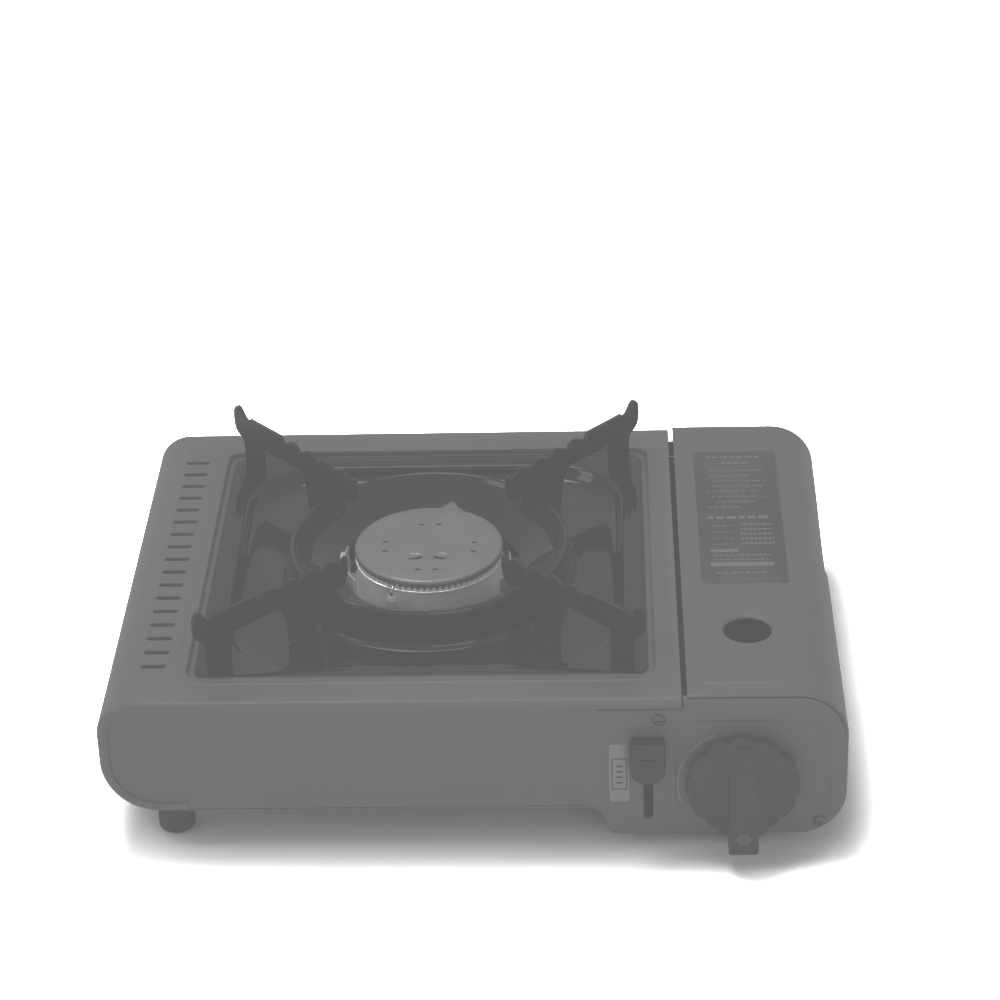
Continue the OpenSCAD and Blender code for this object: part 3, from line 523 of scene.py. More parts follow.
def smooth_line(points, steps=6):
    """Rounds a broken line with a Catmull-Rom curve through its points."""
    out = []
    for i in range(len(points) - 1):
        p0 = points[max(i - 1, 0)]
        p1, p2 = points[i], points[i + 1]
        p3 = points[min(i + 2, len(points) - 1)]
        for s in range(steps):
            t = s / steps
            out.append(tuple(
                0.5 * (2 * b + (c - a) * t + (2 * a - 5 * b + 4 * c - d) * t * t + (3 * b - a - 3 * c + d) * t ** 3)
                for a, b, c, d in zip(p0, p1, p2, p3)))
    out.append(tuple(points[-1]))
    return out


def ease(t):
    """Smooth step from 0 to 1."""
    t = min(max(t, 0), 1)
    return t * t * (3 - 2 * t)


# ---------- case ----------

BEAD = 7.5                # distance of the soft bead from the pan opening
VENT_X0, VENT_L, VENT_W = -152.3, 11.6, 3.0
VENT_Y0, VENT_PITCH, VENT_COUNT = -84, 12.09, 17
VENT_EDGE = 0.6


def shell_path(inset):
    arcs = case_path(inset)[:ARC_POINTS * 2]
    return [(SHELL_X1, TOP - inset)] + arcs + [(LIP_X, LEFT_Z + inset)]


def bend(radius, front_y, n=6):
    """Outer line of a sheet that bends from along Y to across the front: (inset, y) pairs."""
    return [(radius * (1 - cos(a)), front_y + radius * (1 - sin(a)))
            for a in [radians(90 * k / n) for k in range(n + 1)]]


def case_shell():
    edge_r = 2.6
    outer = [(0, BACK)] + bend(edge_r, FRONT) + [(BORDER_W - 0.3, FRONT), (BORDER_W, FRONT + 0.3)]
    inner = [(BORDER_W, FRONT + BORDER_T), (edge_r + 0.4, FRONT + BORDER_T),
             (SHEET, FRONT + edge_r + 0.4), (SHEET, BACK)]
    verts, faces = sweep_profile(shell_path, outer + inner)
    shell = make("case_top_shell", verts, faces, PAINT)
    hole = prism("hole", round_square(PAN_OPEN + 2 * BEAD, 6 + BEAD), TOP - 5, TOP + 5, PAINT)
    slots = [prism("slot", vent_outline(i, VENT_EDGE), TOP - 5, TOP + 5, PAINT)
             for i in range(VENT_COUNT)]
    cut(shell, [hole] + slots)
    parts = [shell, pan_surround()] + [vent_edge(i) for i in range(VENT_COUNT)]
    flat_shading(join("case_top_shell", parts))
    place(parts[0], "case", "case_paint", "case_shell")


def vent_outline(i, grow):
    y = VENT_Y0 + i * VENT_PITCH
    half = VENT_W / 2 + grow
    x0, x1 = VENT_X0 - grow, VENT_X0 + VENT_L + grow
    return round_rect(x0, y - half, x1, y + half, half - 0.001, 6)


def vent_edge(i):
    """Rounded edge of one vent slot, pressed down through the sheet."""
    steps = [(VENT_EDGE, TOP), (0.4, TOP - 0.04), (0.2, TOP - 0.2), (0.04, TOP - 0.5), (0, TOP - 0.9),
             (0, TOP - 2.0),
             (0.6, TOP - 2.0), (VENT_EDGE, TOP - SHEET)]
    rings = [[(x, y, z) for x, y in vent_outline(i, grow)] for grow, z in steps]
    return loft("vent_edge", rings, PAINT)


def pan_surround():
    """Bead round the pan opening, its turned-down rim and the ledge that the pan rests on."""
    steps = [(BEAD, TOP), (BEAD - 0.9, TOP + 0.03), (BEAD - 1.5, TOP + 0.22), (BEAD - 2.0, TOP + 0.34),
             (BEAD - 2.5, TOP + 0.22), (BEAD - 3.1, TOP + 0.03), (BEAD - 4, TOP), (1.4, TOP),
             (0.8, TOP - 0.1),
             (0.35, TOP - 0.4), (0.08, TOP - 0.9), (0, TOP - 1.5), (0, TOP - 3.25), (-0.5, TOP - 3.25),
             (-6.6, TOP - 3.25), (-7, TOP - 3.5), (-7, TOP - 4.1), (1, TOP - 4.1), (1, TOP - 1.6),
             (BEAD, TOP - SHEET)]
    rings = []
    for grow, z in steps:
        rings.append([(x, y, z) for x, y in round_square(PAN_OPEN + 2 * grow, max(6 + grow, 4))])
    return loft("pan_surround", rings, PAINT)


def front_plate():
    """Front panel: a low field on the left, and a right half level with the border with a field of its own."""
    back = FRONT + BORDER_T + 0.1
    thick = 0.9
    left_outline = clip_right(case_path(1.4), CREASE_X + 0.4)
    left_rings = [[(x, y, z) for x, z in left_outline] for y in (back, back + thick)]
    verts, faces = flat_sheet(left_rings, [pressed_field((-163.6, 24.6, 45.7, 73.6), (21, 8, 11, 11),
                                                         back, 0.5, thick)])
    left = make("front_plate", verts, faces, PAINT_FRONT)
    edge = [(2.4, FRONT), (1.7, FRONT + 0.08), (0.9, FRONT + 0.4), (0.35, FRONT + 0.95),
            (0.2, FRONT + 1.3),
            (0.2, FRONT + 3.9), (0.9, FRONT + 4), (1.1, FRONT + 3.6), (1.1, FRONT + 1.5),
            (2.4, FRONT + 0.9)]
    rings = [[(x, y, z) for x, z in right_outline(inset)] for inset, y in edge]
    field = pressed_field((92, 18, 164, 69.4), (8, 12, 12, 8), FRONT, FIELD_DEPTH, thick)
    verts, faces = flat_sheet(rings, [field, [slot_edge(thick)]])
    right = make("front_plate_right", verts, faces, PAINT_FRONT)
    whole = join("front_plate", [left, right])
    flat_shading(whole)
    place(whole, "case", "case_paint", "front_panel")


def clip_right(outline, x1):
    """Part of the outline left of x1, closed by a straight line."""
    return [p for p in outline if p[0] < x1 and p[1] > LEFT_Z - 0.1] + [(x1, LEFT_Z + 1.4),
                                                                        (x1, TOP - 1.4)]


def right_outline(inset):
    """Right half of the front panel: from the crease to the right edge, below the shell's border."""
    x0 = CREASE_X + inset
    x1 = SHELL_X1 + 0.3 + inset
    top_low = TOP - BORDER_W - 0.3 - inset
    start = degrees(acos((x0 - STEP_X + R_STEP_IN) / (R_STEP_IN + inset)))
    step = arc(STEP_X - R_STEP_IN, LEFT_Z - R_STEP_IN, R_STEP_IN + inset, start, 0, 10)
    lower = case_path(inset)[ARC_POINTS * 3:ARC_POINTS * 6]
    return [(x0, top_low)] + step + lower + [(x1, TOP - inset), (x1, top_low)]


def slot_outline(grow):
    x = (LEVER_LOW[0] + LEVER_HIGH[0]) / 2 + 0.3
    return round_rect(x - 2.1 - grow, 14.7 - grow, x + 2.1 + grow, 44.5 + grow, 2.05 + grow, 8)


def slot_edge(thick):
    """Rounded edge of the lever's slot, through the sheet."""
    steps = [(0.5, FRONT), (0.25, FRONT + 0.08), (0.08, FRONT + 0.3), (0, FRONT + 0.6), (0, FRONT + 1.8),
             (0.5, FRONT + 1.8), (0.5, FRONT + thick)]
    return [[(x, y, z) for x, z in slot_outline(grow)] for grow, y in steps]


def pressed_field(box, radii, level, depth, thick):
    """Soft S-shaped step down into a field, on the front and on the back of the sheet."""
    width = 2.2
    sides = []
    for face_y in (level, level + thick):
        rings = []
        for k in range(9):
            inset = width * k / 8
            outline = round_rect(box[0] + inset, box[1] + inset, box[2] - inset, box[3] - inset,
                                 tuple(max(r - inset, 1) for r in radii), 12)
            rings.append([(x, face_y + depth * ease(k / 8), z) for x, z in outline])
        sides.append(rings)
    return sides


# ---------- lid ----------

LID_STEP_Y = 15
REAR_INSET = 1.1
EMBOSS = 0.35             # height of the raised field on the lid
LID_X0 = LID_LOW[0]
FLAT_X = (103, 110, 120, 130, 140)


def lid_path(inset):
    """Section of the lid from its left edge over the shoulder to the wrapped edge below."""
    low_r = R_BOTTOM_RIGHT + LID_SIDE
    high_r = R_TOP_RIGHT + LID_SIDE
    wrap_angle = -degrees(asin((RIGHT_Z + low_r - WRAP_Z) / low_r))
    top = [(x, LID_TOP - inset) for x in (LID_X0,) + FLAT_X]
    shoulder = arc(HALF - R_TOP_RIGHT, LID_TOP - high_r, high_r - inset, 90, 0, 18)
    side = [(HALF + LID_SIDE - inset, z) for z in (52, 46, 40, 34)]
    wrap = arc(HALF - R_BOTTOM_RIGHT, RIGHT_Z + low_r, low_r - inset, 0, wrap_angle, 7)
    return top + shoulder + side + wrap


def lid_drop(k, y):
    """How far the back half of the lid's right side lies inside the front half; it flares out to the back."""
    side = ease((k - 8) / 5)
    lap = ease((y - LID_STEP_Y) / 2.2 + 0.5)
    return REAR_INSET * side * lap * (1 - ease((y - LID_STEP_Y) / (LID_HIGH[1] - LID_STEP_Y)))


def lid_shell():
    y0, y1 = LID_LOW[1], LID_HIGH[1]
    rounding = {0: 0.8, 0.15: 0.45, 0.5: 0.15, 1.1: 0}
    ends = sorted(rounding)
    middle = [y0 + 3] + [LID_STEP_Y + d for d in (-60, -20, -5, -1.6, -1.1, -0.7, -0.35, 0, 0.35, 0.7,
                                                  1.1, 1.6, 5, 20, 40, 60, 80)]
    stations = [y0 + d for d in ends] + middle + [y1 - d for d in reversed(ends)]
    last = len(stations) - 1
    first_flat, last_flat = len(ends) - 1, last - len(ends) + 1
    flat = len(FLAT_X) + 1
    count = len(lid_path(0))
    verts, faces = [], []

    def point(i, side, k):
        y = stations[i]
        down = rounding.get(ends[min(i, last - i, len(ends) - 1)], 0)
        inset = lid_drop(k, y) + (SHEET if side else down)
        x, z = lid_path(inset)[k]
        return x, y, z

    def quad(*corner_keys):
        faces.append(tuple(range(len(verts), len(verts) + 4)))
        verts.extend(point(*key) for key in corner_keys)

    for side in (0, 1):
        for i in range(last):
            near_end = i < first_flat or i >= last_flat
            for k in range(0 if near_end else flat, count - 1):
                quad((i, side, k), (i + 1, side, k), (i + 1, side, k + 1), (i, side, k + 1))
    for i in range(last):
        quad((i, 0, count - 1), (i + 1, 0, count - 1), (i + 1, 1, count - 1), (i, 1, count - 1))
        if i < first_flat or i >= last_flat:
            quad((i, 0, 0), (i + 1, 0, 0), (i + 1, 1, 0), (i, 1, 0))
    quad((first_flat, 0, 0), (last_flat, 0, 0), (last_flat, 1, 0), (first_flat, 1, 0))
    for i in (0, last):
        for k in range(count - 1):
            quad((i, 0, k), (i, 0, k + 1), (i, 1, k + 1), (i, 1, k))
    for side in (0, 1):
        border = [point(first_flat, side, k) for k in range(flat + 1)]
        border += [point(i, side, flat) for i in range(first_flat + 1, last_flat)]
        border += [point(last_flat, side, k) for k in range(flat, -1, -1)]
        add_lid_top(verts, faces, border, LID_TOP - SHEET * side)
    lid = make("bay_lid", verts, faces, PAINT)
    ears = [lid_ear(y, y + 1) for y in (FRONT + 4.6, BACK + 1 - 6)]
    whole = join("bay_lid", [lid, view_ring()] + ears)
    flat_shading(whole)
    place(whole, "lid", "case_paint", "lid_shell")


def add_lid_top(verts, faces, border, z):
    """Flat top of one face of the lid's sheet, with a raised field and room for the viewing ring."""
    ramp = []
    for k in range(7):
        i = 1.5 * k / 6
        ramp.append([(x, y, z + EMBOSS * ease(k / 6)) for x, y in round_rect(
            LID_X0 + 5.4 + i, LID_LOW[1] + 9 + i, HALF - R_TOP_RIGHT - 0.8 - i, LID_HIGH[1] - 9 - i,
            6 - i, 8)])
    ring = [(x, y, z + EMBOSS) for x, y in circle(*VIEW_HOLE, RING_R, 64)]
    for loops in ([border, ramp[0]], [ramp[-1], ring]):
        start = len(verts)
        verts.extend(p for loop in loops for p in loop)
        outlines = [[Vector((p[0], p[1], 0)) for p in loop] for loop in loops]
        faces.extend(tuple(i + start for i in triangle) for triangle in tessellate_polygon(outlines))
    more, sides = bridge(ramp)
    start = len(verts)
    verts.extend(more)
    faces.extend(tuple(i + start for i in face) for face in sides)


RING_R = 16.2


def view_ring():
    """Low rounded ring round the viewing hole."""
    z = LID_TOP + EMBOSS
    line = [(RING_R, z), (15.6, z + 0.03), (15, z + 0.12), (14.2, z + 0.22), (13.4, z + 0.24),
            (12.7, z + 0.16),
            (12.0, z - 0.04), (11.5, z - 0.35), (VIEW_R, z - 0.9), (VIEW_R, z - 1.3), (11.8, z - 1.3),
            (12.6, z - 1.0),
            (RING_R, z - SHEET)]
    return lathe("ring", line, PAINT, VIEW_HOLE, 64)


def lid_ear(y0, y1):
    """Hinge ear under the lid's left edge, with the pin's hole."""
    outline = [(HINGE_X + 12, LID_TOP - 0.9), (HINGE_X - 1.5, LID_TOP - 0.9)]
    outline += arc(HINGE_X, HINGE_Z, 3, 150, 315, 14) + [(HINGE_X + 7, HINGE_Z + 0.5)]
    ear = prism("ear", outline, y0, y1, PAINT, "y")
    pin = prism("cutter", circle(HINGE_X, HINGE_Z, 1.56, 24), y0 - 1, y1 + 1, PAINT, "y")
    cut(ear, [pin])
    return ear


# ---------- labels ----------

def bars(name, rows, level, axis, material, body, slot, thick=0.06):
    """Flat bars of print, or of painted shade: each row is (x0, x1, y0, y1)."""
    parts = []
    for x0, x1, a, b in rows:
        outline = round_rect(x0, a, x1, b, min(0.2, (b - a) / 3), 2)
        parts.append(prism("bar", outline, min(level, level + thick), max(level, level + thick),
                           material, axis))
    piece = join(name, parts) if len(parts) > 1 else parts[0]
    piece.name = name
    return place(piece, body, slot)


def lid_label():
    x0, y0, x1, y1 = LID_LABEL_LOW[0], LID_LABEL_LOW[1], LID_LABEL_HIGH[0], LID_LABEL_HIGH[1]
    z = LID_LABEL_LOW[2] + EMBOSS
    film = loft("bay_lid_label", [[(x, y, h) for x, y in round_rect(x0 + i, y0 + i, x1 - i, y1 - i,
                                                                    3 - i, 6)]
                                  for i, h in ((0, z), (0, z + 0.12), (0.12, z + 0.19))], LABEL_DARK,
                                  (True, True))
    place(film, "lid", "label_dark", "lid_label")
    rows = []
    width = x1 - x0 - 8
    left = x0 + 4

    def line(y, a, b, h=1.1, dash=0.0):
        """One printed line from a to b, as parts of the label's width, broken into dashes where asked."""
        start, end = left + width * a, left + width * b
        if not dash:
            rows.append((start, end, y - h / 2, y + h / 2))
            return
        x = start
        k = 0
        while x < end - 0.4:
            length = dash * (0.7 + 0.6 * ((k * 37) % 11) / 11)
            rows.append((x, min(x + length, end), y - h / 2, y + h / 2))
            x += length + dash * 0.35
            k += 1

    line(y1 - 6, 0.06, 0.94, 1.5, 3.2)
    line(y1 - 12, 0.3, 0.7, 1.9, 2.6)
    for k, (a, b) in enumerate(((0.1, 0.92), (0.1, 0.7), (0.14, 0.96), (0.14, 0.9), (0.05, 0.8),
                                (0.1, 0.95),
                                (0.18, 0.75), (0.05, 0.55))):
        line(y1 - 20 - k * 5.3, a, b, 0.9, 2.2 + (k % 3) * 0.5)
    line(y0 + 62, 0.03, 0.97, 2.6, 4.0)
    for k in range(5):
        line(y0 + 55 - k * 4.6, 0.5, 0.97, 1.6, 1.7)
    for k in range(4):
        line(y0 + 54 - k * 6, 0.06, 0.42, 0.8, 2.4)
    line(y0 + 30, 0.04, 0.44, 2.8)
    line(y0 + 25.5, 0.08, 0.9, 0.9, 2.0)
    line(y0 + 21.5, 0.08, 0.86, 0.9, 2.4)
    line(y0 + 17, 0.03, 0.93, 3.4)
    line(y0 + 9, 0.1, 0.86, 1.0, 2.8)
    bars("bay_lid_label_print", rows, z + 0.17, "z", PRINT, "lid", "label_light")


def lock_label():
    x0, z0, x1, z1 = LOCK_LABEL_LOW[0], LOCK_LABEL_LOW[2], LOCK_LABEL_HIGH[0], LOCK_LABEL_HIGH[2]
    y = LOCK_LABEL_HIGH[1]
    film = loft("lever_label", [[(x, h, z) for x, z in round_rect(x0 + i, z0 + i, x1 - i, z1 - i,
                                                                  0.8 - i, 4)]
                                for i, h in ((0, y), (0, y - 0.14), (0.1, y - 0.2))], LABEL_LIGHT,
                                (True, True))
    place(film, "case", "label_light", "lock_label")
    dark = [(x0 + 0.9, x1 - 0.9, z0 + 6.6, z0 + 7.3), (x0 + 0.9, x1 - 0.9, z1 - 8.2, z1 - 7.5),
            (x0 + 0.9, x0 + 1.5, z0 + 7.3, z1 - 8.2), (x1 - 1.5, x1 - 0.9, z0 + 7.3, z1 - 8.2),
            (x0 + 3, x1 - 3, z0 + 10, z0 + 11), (x0 + 3, x1 - 3, z0 + 13, z0 + 14),
            (x0 + 3, x1 - 3, z0 + 16, z0 + 17),
            (x0 + 3, x1 - 3, z0 + 19, z0 + 20)]
    bars("lever_label_print", dark, y - 0.245, "y", LABEL_DARK, "case", "label_dark")


# ---------- drip pan, collar, pot arms ----------

def drip_pan():
    rim = PAN_HIGH[2]
    floor_z = PAN_LOW[2] + 0.8
    steps = [(PAN_W / 2 - 1.2, 7, rim - 1.0), (PAN_W / 2 - 0.2, 7.8, rim - 0.9),
             (PAN_W / 2, 8, rim - 0.5),
             (PAN_W / 2 - 0.25, 7.8, rim - 0.12), (PAN_W / 2 - 0.8, 7.4, rim), (98.4, 14, rim - 0.05),
             (97.6, 16, rim - 0.25),
             (97.0, 17, rim - 0.3), (95, 36, rim - 0.3), (94.2, 37, rim - 0.55), (93.3, 36.4, rim - 1.5),
             (92.6, 36, rim - 3.2),
             (91.8, 35.6, floor_z + 2.6), (90.4, 35, floor_z + 1.1), (88.2, 34, floor_z + 0.35),
             (85, 33, floor_z + 0.05),
             (80, 48, floor_z), (76, 76, floor_z), (74.4, 74.4, floor_z), (58.5, 58.5, floor_z),
             (58, 58, floor_z - 0.4),
             (58.5, 58.5, floor_z - 0.8), (84, 33, floor_z - 0.8), (90.8, 35, floor_z - 0.2),
             (93.4, 36, floor_z + 1.2),
             (94.2, 37, rim - 1.6), (95.4, 37, rim - 1.1)]
    rings = [[(x, y, z) for x, y in round_square(2 * half, r)] for half, r, z in steps]
    rings.append(rings[0])
    pan = loft("enamel_drip_pan", rings, ENAMEL, sharp=60)
    place(pan, "pan", "enamel", "drip_pan")


def collar():
    top = COLLAR_HIGH[2]
    base = COLLAR_LOW[2]
    line = smooth_line([(74, base + 0.35), (72.4, base + 0.75), (71.0, base + 2.0), (70.0, base + 5),
                        (68.6, base + 11),
                        (67.9, top - 3.4), (67.55, top - 1.6), (66.9, top - 0.4), (66.0, top),
                        (65.0, top - 0.45),
                        (64.2, top - 1.5), (62.6, top - 3.2), (58.5, top - 6.4), (53.5, top - 10),
                        (49.5, top - 12.6),
                        (46.6, top - 14.2), (44.6, top - 15.0)], 5)
    under = [(44.0, top - 15.3), (44.1, top - 15.9), (47, top - 15.2), (54, top - 11.2), (62, top - 5.0),
             (65.6, top - 2.2),
             (66.6, top - 2.4), (67.4, base + 11), (69.2, base + 4), (70.4, base + 0.6),
             (72, base + 0.02), (74, base + 0.02)]
    piece = lathe("enamel_burner_collar", line + under, ENAMEL, BURNER, 160, True, 60)
    place(piece, "pan", "enamel", "burner_collar")


ARM_T = 2.2


ARM_TOP, ARM_SLOPE = 106, 0.034
TOOTH_R, TOOTH_PITCH = 107, 12.5
TOOTH = ((0, -3.2), (0.9, -3.0), (1.7, -2.0), (2.5, -1.6), (3.4, -1.55), (4.2, -0.7), (5.0, -0.15),
         (6.2, 0), (8.2, -0.05),
         (9.2, -0.45), (10.0, -1.1), (10.8, -1.35), (11.3, -2.2), (11.9, -2.95))


def arm_edge(r):
    return ARM_TOP - (133 - r) * ARM_SLOPE


def arm_outline():
    """Side outline of a pot arm: distance from the burner axis, and height."""
    well = PAN_LOW[2] + 0.8 + 0.95
    rim = PAN_HIGH[2] + 0.05
    horn = CAD_BOX[1][2] / MM
    points = [(74.6, well), (89.8, well), (89.8, 78), (90.3, 81.4), (91.2, 84.6), (92.3, 87.4),
              (93.8, 89.8), (95.4, 91.2),
              (97.4, 91.9), (100, 92), (122.4, 92), (123.7, 91.5), (124.3, 90.2), (124.6, rim),
              (138.5, rim), (138.4, 88),
              (138.6, 91)]
    points += smooth_line([(138.6, 91), (139.6, 93), (142.6, 95.4), (144.4, 97.4), (145.3, 101),
                           (145.4, 104.5),
                           (145.1, horn - 3), (144.2, horn - 1.1), (142.6, horn), (141.0, horn - 0.6),
                           (139.4, horn - 2.4), (138.0, horn - 4.4), (136.8, 104.9), (135.6, 104.6),
                           (134.6, 105.0),
                           (133.2, arm_edge(133))], 3)
    points.append((109, arm_edge(109)))
    for k in range(5):
        for inward, drop in TOOTH:
            r = TOOTH_R - TOOTH_PITCH * k - inward
            if r > 53.6:
                points.append((r, arm_edge(r) + drop))
    return points + [(53.0, 102.6), (52.3, 101.2), (52.1, 99), (52.2, 95.6), (52.8, 92.4), (53.8, 89.8),
                     (55.4, 87.9),
                     (57.6, 87.1), (60, 87.4), (62, 88.4), (64, 89.75), (68.2, 89.75), (69.4, 88),
                     (70.6, 83.6), (72.6, 76)]


def pot_arm(name, angle):
    outline = arm_outline()
    rings = [[(r, y, z) for r, z in outline] for y in (-ARM_T / 2, ARM_T / 2)]
    turn = Matrix.Rotation(radians(angle), 3, "Z")
    placed = [[tuple(turn @ Vector(p) + Vector((*BURNER, 0))) for p in ring] for ring in rings]
    piece = loft("pot_" + name, placed, ARM_ENAMEL, (True, True), 40)
    soften(piece, 0.45, 2, 40)
    place(piece, "pan", "enamel", name)


# ---------- burner ----------

def burner_cap():
    """Round cap with four pairs of punched slots and two pressed wings before the middle; the shade in the slots
    and on the wings is painted shade, laid on as flat dark pieces.
    """
    top = CAP_HIGH[2]
    n = 360
    rim_drop = {34.4: 0.06, 35.0: 0.2, 35.5: 0.42, 35.85: 0.75}
    radii = [0.001] + [0.4 * k for k in range(1, 85)] + sorted(rim_drop)

    def height(r, a):
        x, y = r * cos(a), r * sin(a)
        z = top - rim_drop.get(r, 0) - 0.25 * ease((r - 29) / 5)
        for side in (-1, 1):
            out = sqrt(((x - side * 6.2) / 4.8) ** 2 + ((y + 12.2) / 3.6) ** 2)
            z -= 0.55 * ease((1 - out) / 0.5) * ease((y + 16.5) / 2)
        return z

    rings = []
    for r in radii:
        rings.append([(BURNER[0] + r * cos(2 * pi * k / n), BURNER[1] + r * sin(2 * pi * k / n),
                       height(r, 2 * pi * k / n))
                      for k in range(n)])
    for r, z in ((CAP_R, top - 1.7), (CAP_R, top - 3.2), (CAP_R - 0.25, top - 3.7),
                 (CAP_R - 0.7, top - 3.9), (31, top - 3.9),
                 (30.8, top - 5.8), (0.001, top - 5.8)):
        rings.append([(BURNER[0] + r * cos(2 * pi * k / n), BURNER[1] + r * sin(2 * pi * k / n), z)
                      for k in range(n)])
    piece = loft("burner_cap_disc", rings, CAST, sharp=50)
    place(piece, "case", "burner_alloy", "burner_cap")
    # painted shade: thin dark bars on the cap's face stand for the shade inside the slots
    dashes = []
    for x, y in ((-4.2, 17.8), (4.2, 17.8), (-4.2, -25), (4.2, -25), (-21, 1.6), (-21, -7.3), (22, 0),
                 (22, -8.6)):
        cx, cy = BURNER[0] + x, BURNER[1] + y
        dashes.append((cx - 1.3, cx + 1.3, cy - 0.6, cy + 0.6))
    bars("burner_cap_slot_shade", dashes, top - 0.02, "z", PAINTED_SHADE, "case", "burner_alloy", 0.15)
    # painted shade: dark leaf shapes laid on the front of the pressed wings
    wings = [prism("wing", [(BURNER[0] + side * x, BURNER[1] + y) for x, y in WING], top - 0.6,
                   top + 0.03,
                   PAINTED_SHADE, "z") for side in (-1, 1)]
    place(join("burner_cap_wing_shade", wings), "case", "burner_alloy")


WING = ((2.6, -14.4), (9.4, -15.6), (8.2, -14.2), (5.4, -13.4), (3.2, -12))


def port_ring():
    """Bright ring under the cap: a crown of flame ports, a rolled lip and a flared foot."""
    top = PORTS_HIGH[2]
    base = PORTS_LOW[2]
    n_ports = 72
    steps = []
    for k in range(n_ports):
        a0 = 2 * pi * k / n_ports
        w = 2 * pi / n_ports
        steps += [(a0, 1), (a0 + w * 0.42, 1), (a0 + w * 0.5, 0), (a0 + w * 0.92, 0)]
    rings = []
    for r, z, depth in ((32.4, top, 0), (34.6, top, 1.6), (34.9, top - 0.2, 1.8), (34.9, top - 1.7, 1.8),
                        (35.0, top - 1.9, 0),
                        (35.7, top - 2.1, 0), (36.0, top - 2.5, 0), (36.0, top - 2.9, 0),
                        (35.7, top - 3.3, 0),
                        (35.1, top - 3.7, 0), (34.95, top - 4.6, 0), (35.0, top - 6, 0),
                        (35.2, top - 7.6, 0),
                        (35.5, top - 9.6, 0), (36.0, top - 11.8, 0), (36.6, top - 13.8, 0),
                        (37.2, base + 1.6, 0),
                        (37.4, base + 0.8, 0), (37.3, base, 0), (28.6, base, 0), (28.6, base + 1.6, 0),
                        (32.4, base + 2.2, 0), (33.4, base + 4.6, 0), (33.0, top - 7, 0),
                        (32.4, top - 3.4, 0)):
        rings.append([(BURNER[0] + (r - depth * (1 - on)) * cos(a),
                       BURNER[1] + (r - depth * (1 - on)) * sin(a), z)
                      for a, on in steps])
    rings.append(rings[0])
    piece = loft("burner_port_ring", rings, POLISHED, sharp=28)
    place(piece, "case", "burner_alloy", "port_ring")
    # painted shade: a dark band behind the flame ports darkens the gaps between the teeth
    port_shade = [(33.0, top - 0.25), (33.9, top - 0.25), (33.9, top - 1.65), (33.0, top - 1.65)]
    place(lathe("burner_port_shade", port_shade, PAINTED_SHADE, BURNER, 96, True), "case", "burner_alloy")


# ---------- knob and lever ----------

def control_knob():
    """Scalloped disc with a tapering bar grip, its flared flanks and a round mark near its lower end."""
    n = 360
    front = FRONT - 8
    back = FRONT - 4
    knob_r = KNOB_X - KNOB_LOW[0]
    lobes = 12

    def rim(a, r, depth):
        wave = 0.5 + 0.5 * cos(lobes * (a - pi / lobes))
        return r - depth * (wave ** 5)

    profile = [(knob_r - 8, FRONT - 0.4, 0), (knob_r - 8, back, 0), (knob_r - 2.4, back, 0.6),
               (knob_r - 0.5, back, 1.5),
               (knob_r, back - 0.4, 1.7), (knob_r, front + 2.0, 1.7), (knob_r - 0.2, front + 1.1, 1.6),
               (knob_r - 0.8, front + 0.5, 1.4), (knob_r - 1.8, front + 0.18, 0.9),
               (knob_r - 3.2, front + 0.06, 0.3),
               (knob_r - 5, front, 0), (0.01, front, 0)]
    rings = []
    for r, y, depth in profile:
        ring = []
        for k in range(n):
            a = 2 * pi * k / n
            d = rim(a, r, depth)
            ring.append((KNOB_X + d * cos(a), y, KNOB_Z + d * sin(a)))
        rings.append(ring)
    disc = loft("disc", rings, KNOB_PLASTIC, (True, False), 40)
    whole = join("gas_knob", [disc, grip_bar(), grip_flanks(), knob_mark()])
    place(whole, "knob", "knob_plastic", "control_knob")


GRIP_HALF = 6.7


def grip_bar():
    """Bar grip: side outline in Y and Z, swept across X with softened flanks."""
    face = FRONT - 21.9
    side = [(FRONT - 7.0, 22.2), (FRONT - 8.4, 21.8), (FRONT - 10, 18.6), (FRONT - 13, 13.4),
            (FRONT - 16.4, 9.2),
            (FRONT - 19.4, 5.4), (FRONT - 21.3, 2.4), (face, -1.6), (face, -14), (face, -24.8),
            (face + 0.35, -26.4), (face + 1.2, -27.7), (face + 2.6, -28.4), (FRONT - 7, -28.4),
            (FRONT - 5.6, -28.1),
            (FRONT - 5.0, -27), (FRONT - 5.2, -20), (FRONT - 6.6, -18)]
    widths = [(-GRIP_HALF, 0.9), (-GRIP_HALF + 0.15, 0.45), (-GRIP_HALF + 0.6, 0.12),
              (-GRIP_HALF + 1.2, 0),
              (GRIP_HALF - 1.2, 0), (GRIP_HALF - 0.6, 0.12), (GRIP_HALF - 0.15, 0.45), (GRIP_HALF, 0.9)]
    centre_y = FRONT - 13
    centre_z = -4
    rings = []
    for x, inset in widths:
        ring = []
        for y, z in side:
            dy, dz = centre_y - y, centre_z - z
            length = sqrt(dy * dy + dz * dz)
            ring.append((KNOB_X + x, y + dy / length * inset, KNOB_Z + z + dz / length * inset))
        rings.append(ring)
    bar = loft("bar", rings, KNOB_PLASTIC, (True, True), 40)
    soften(bar, 0.5, 2, 50)
    apply_modifiers(bar)
    return bar


def grip_flanks():
    """Concave slopes from the disc's face up to the bar, on both sides and round the bar's lower end."""
    face = FRONT - 7.9
    rings = []
    for j in range(7):
        t = j / 6
        half = GRIP_HALF - 0.8 + 5.2 * (1 - t) ** 2.2
        y = face - 5.5 * t
        top_z = 21.5 - 5.5 * t
        low_z = -26.2 - 0.4 * t
        outline = round_rect(KNOB_X - half, KNOB_Z + low_z, KNOB_X + half, KNOB_Z + top_z, 3.4, 6)
        rings.append([(x, y, z) for x, z in outline])
    return loft("flanks", rings, KNOB_PLASTIC, (True, True), 50)


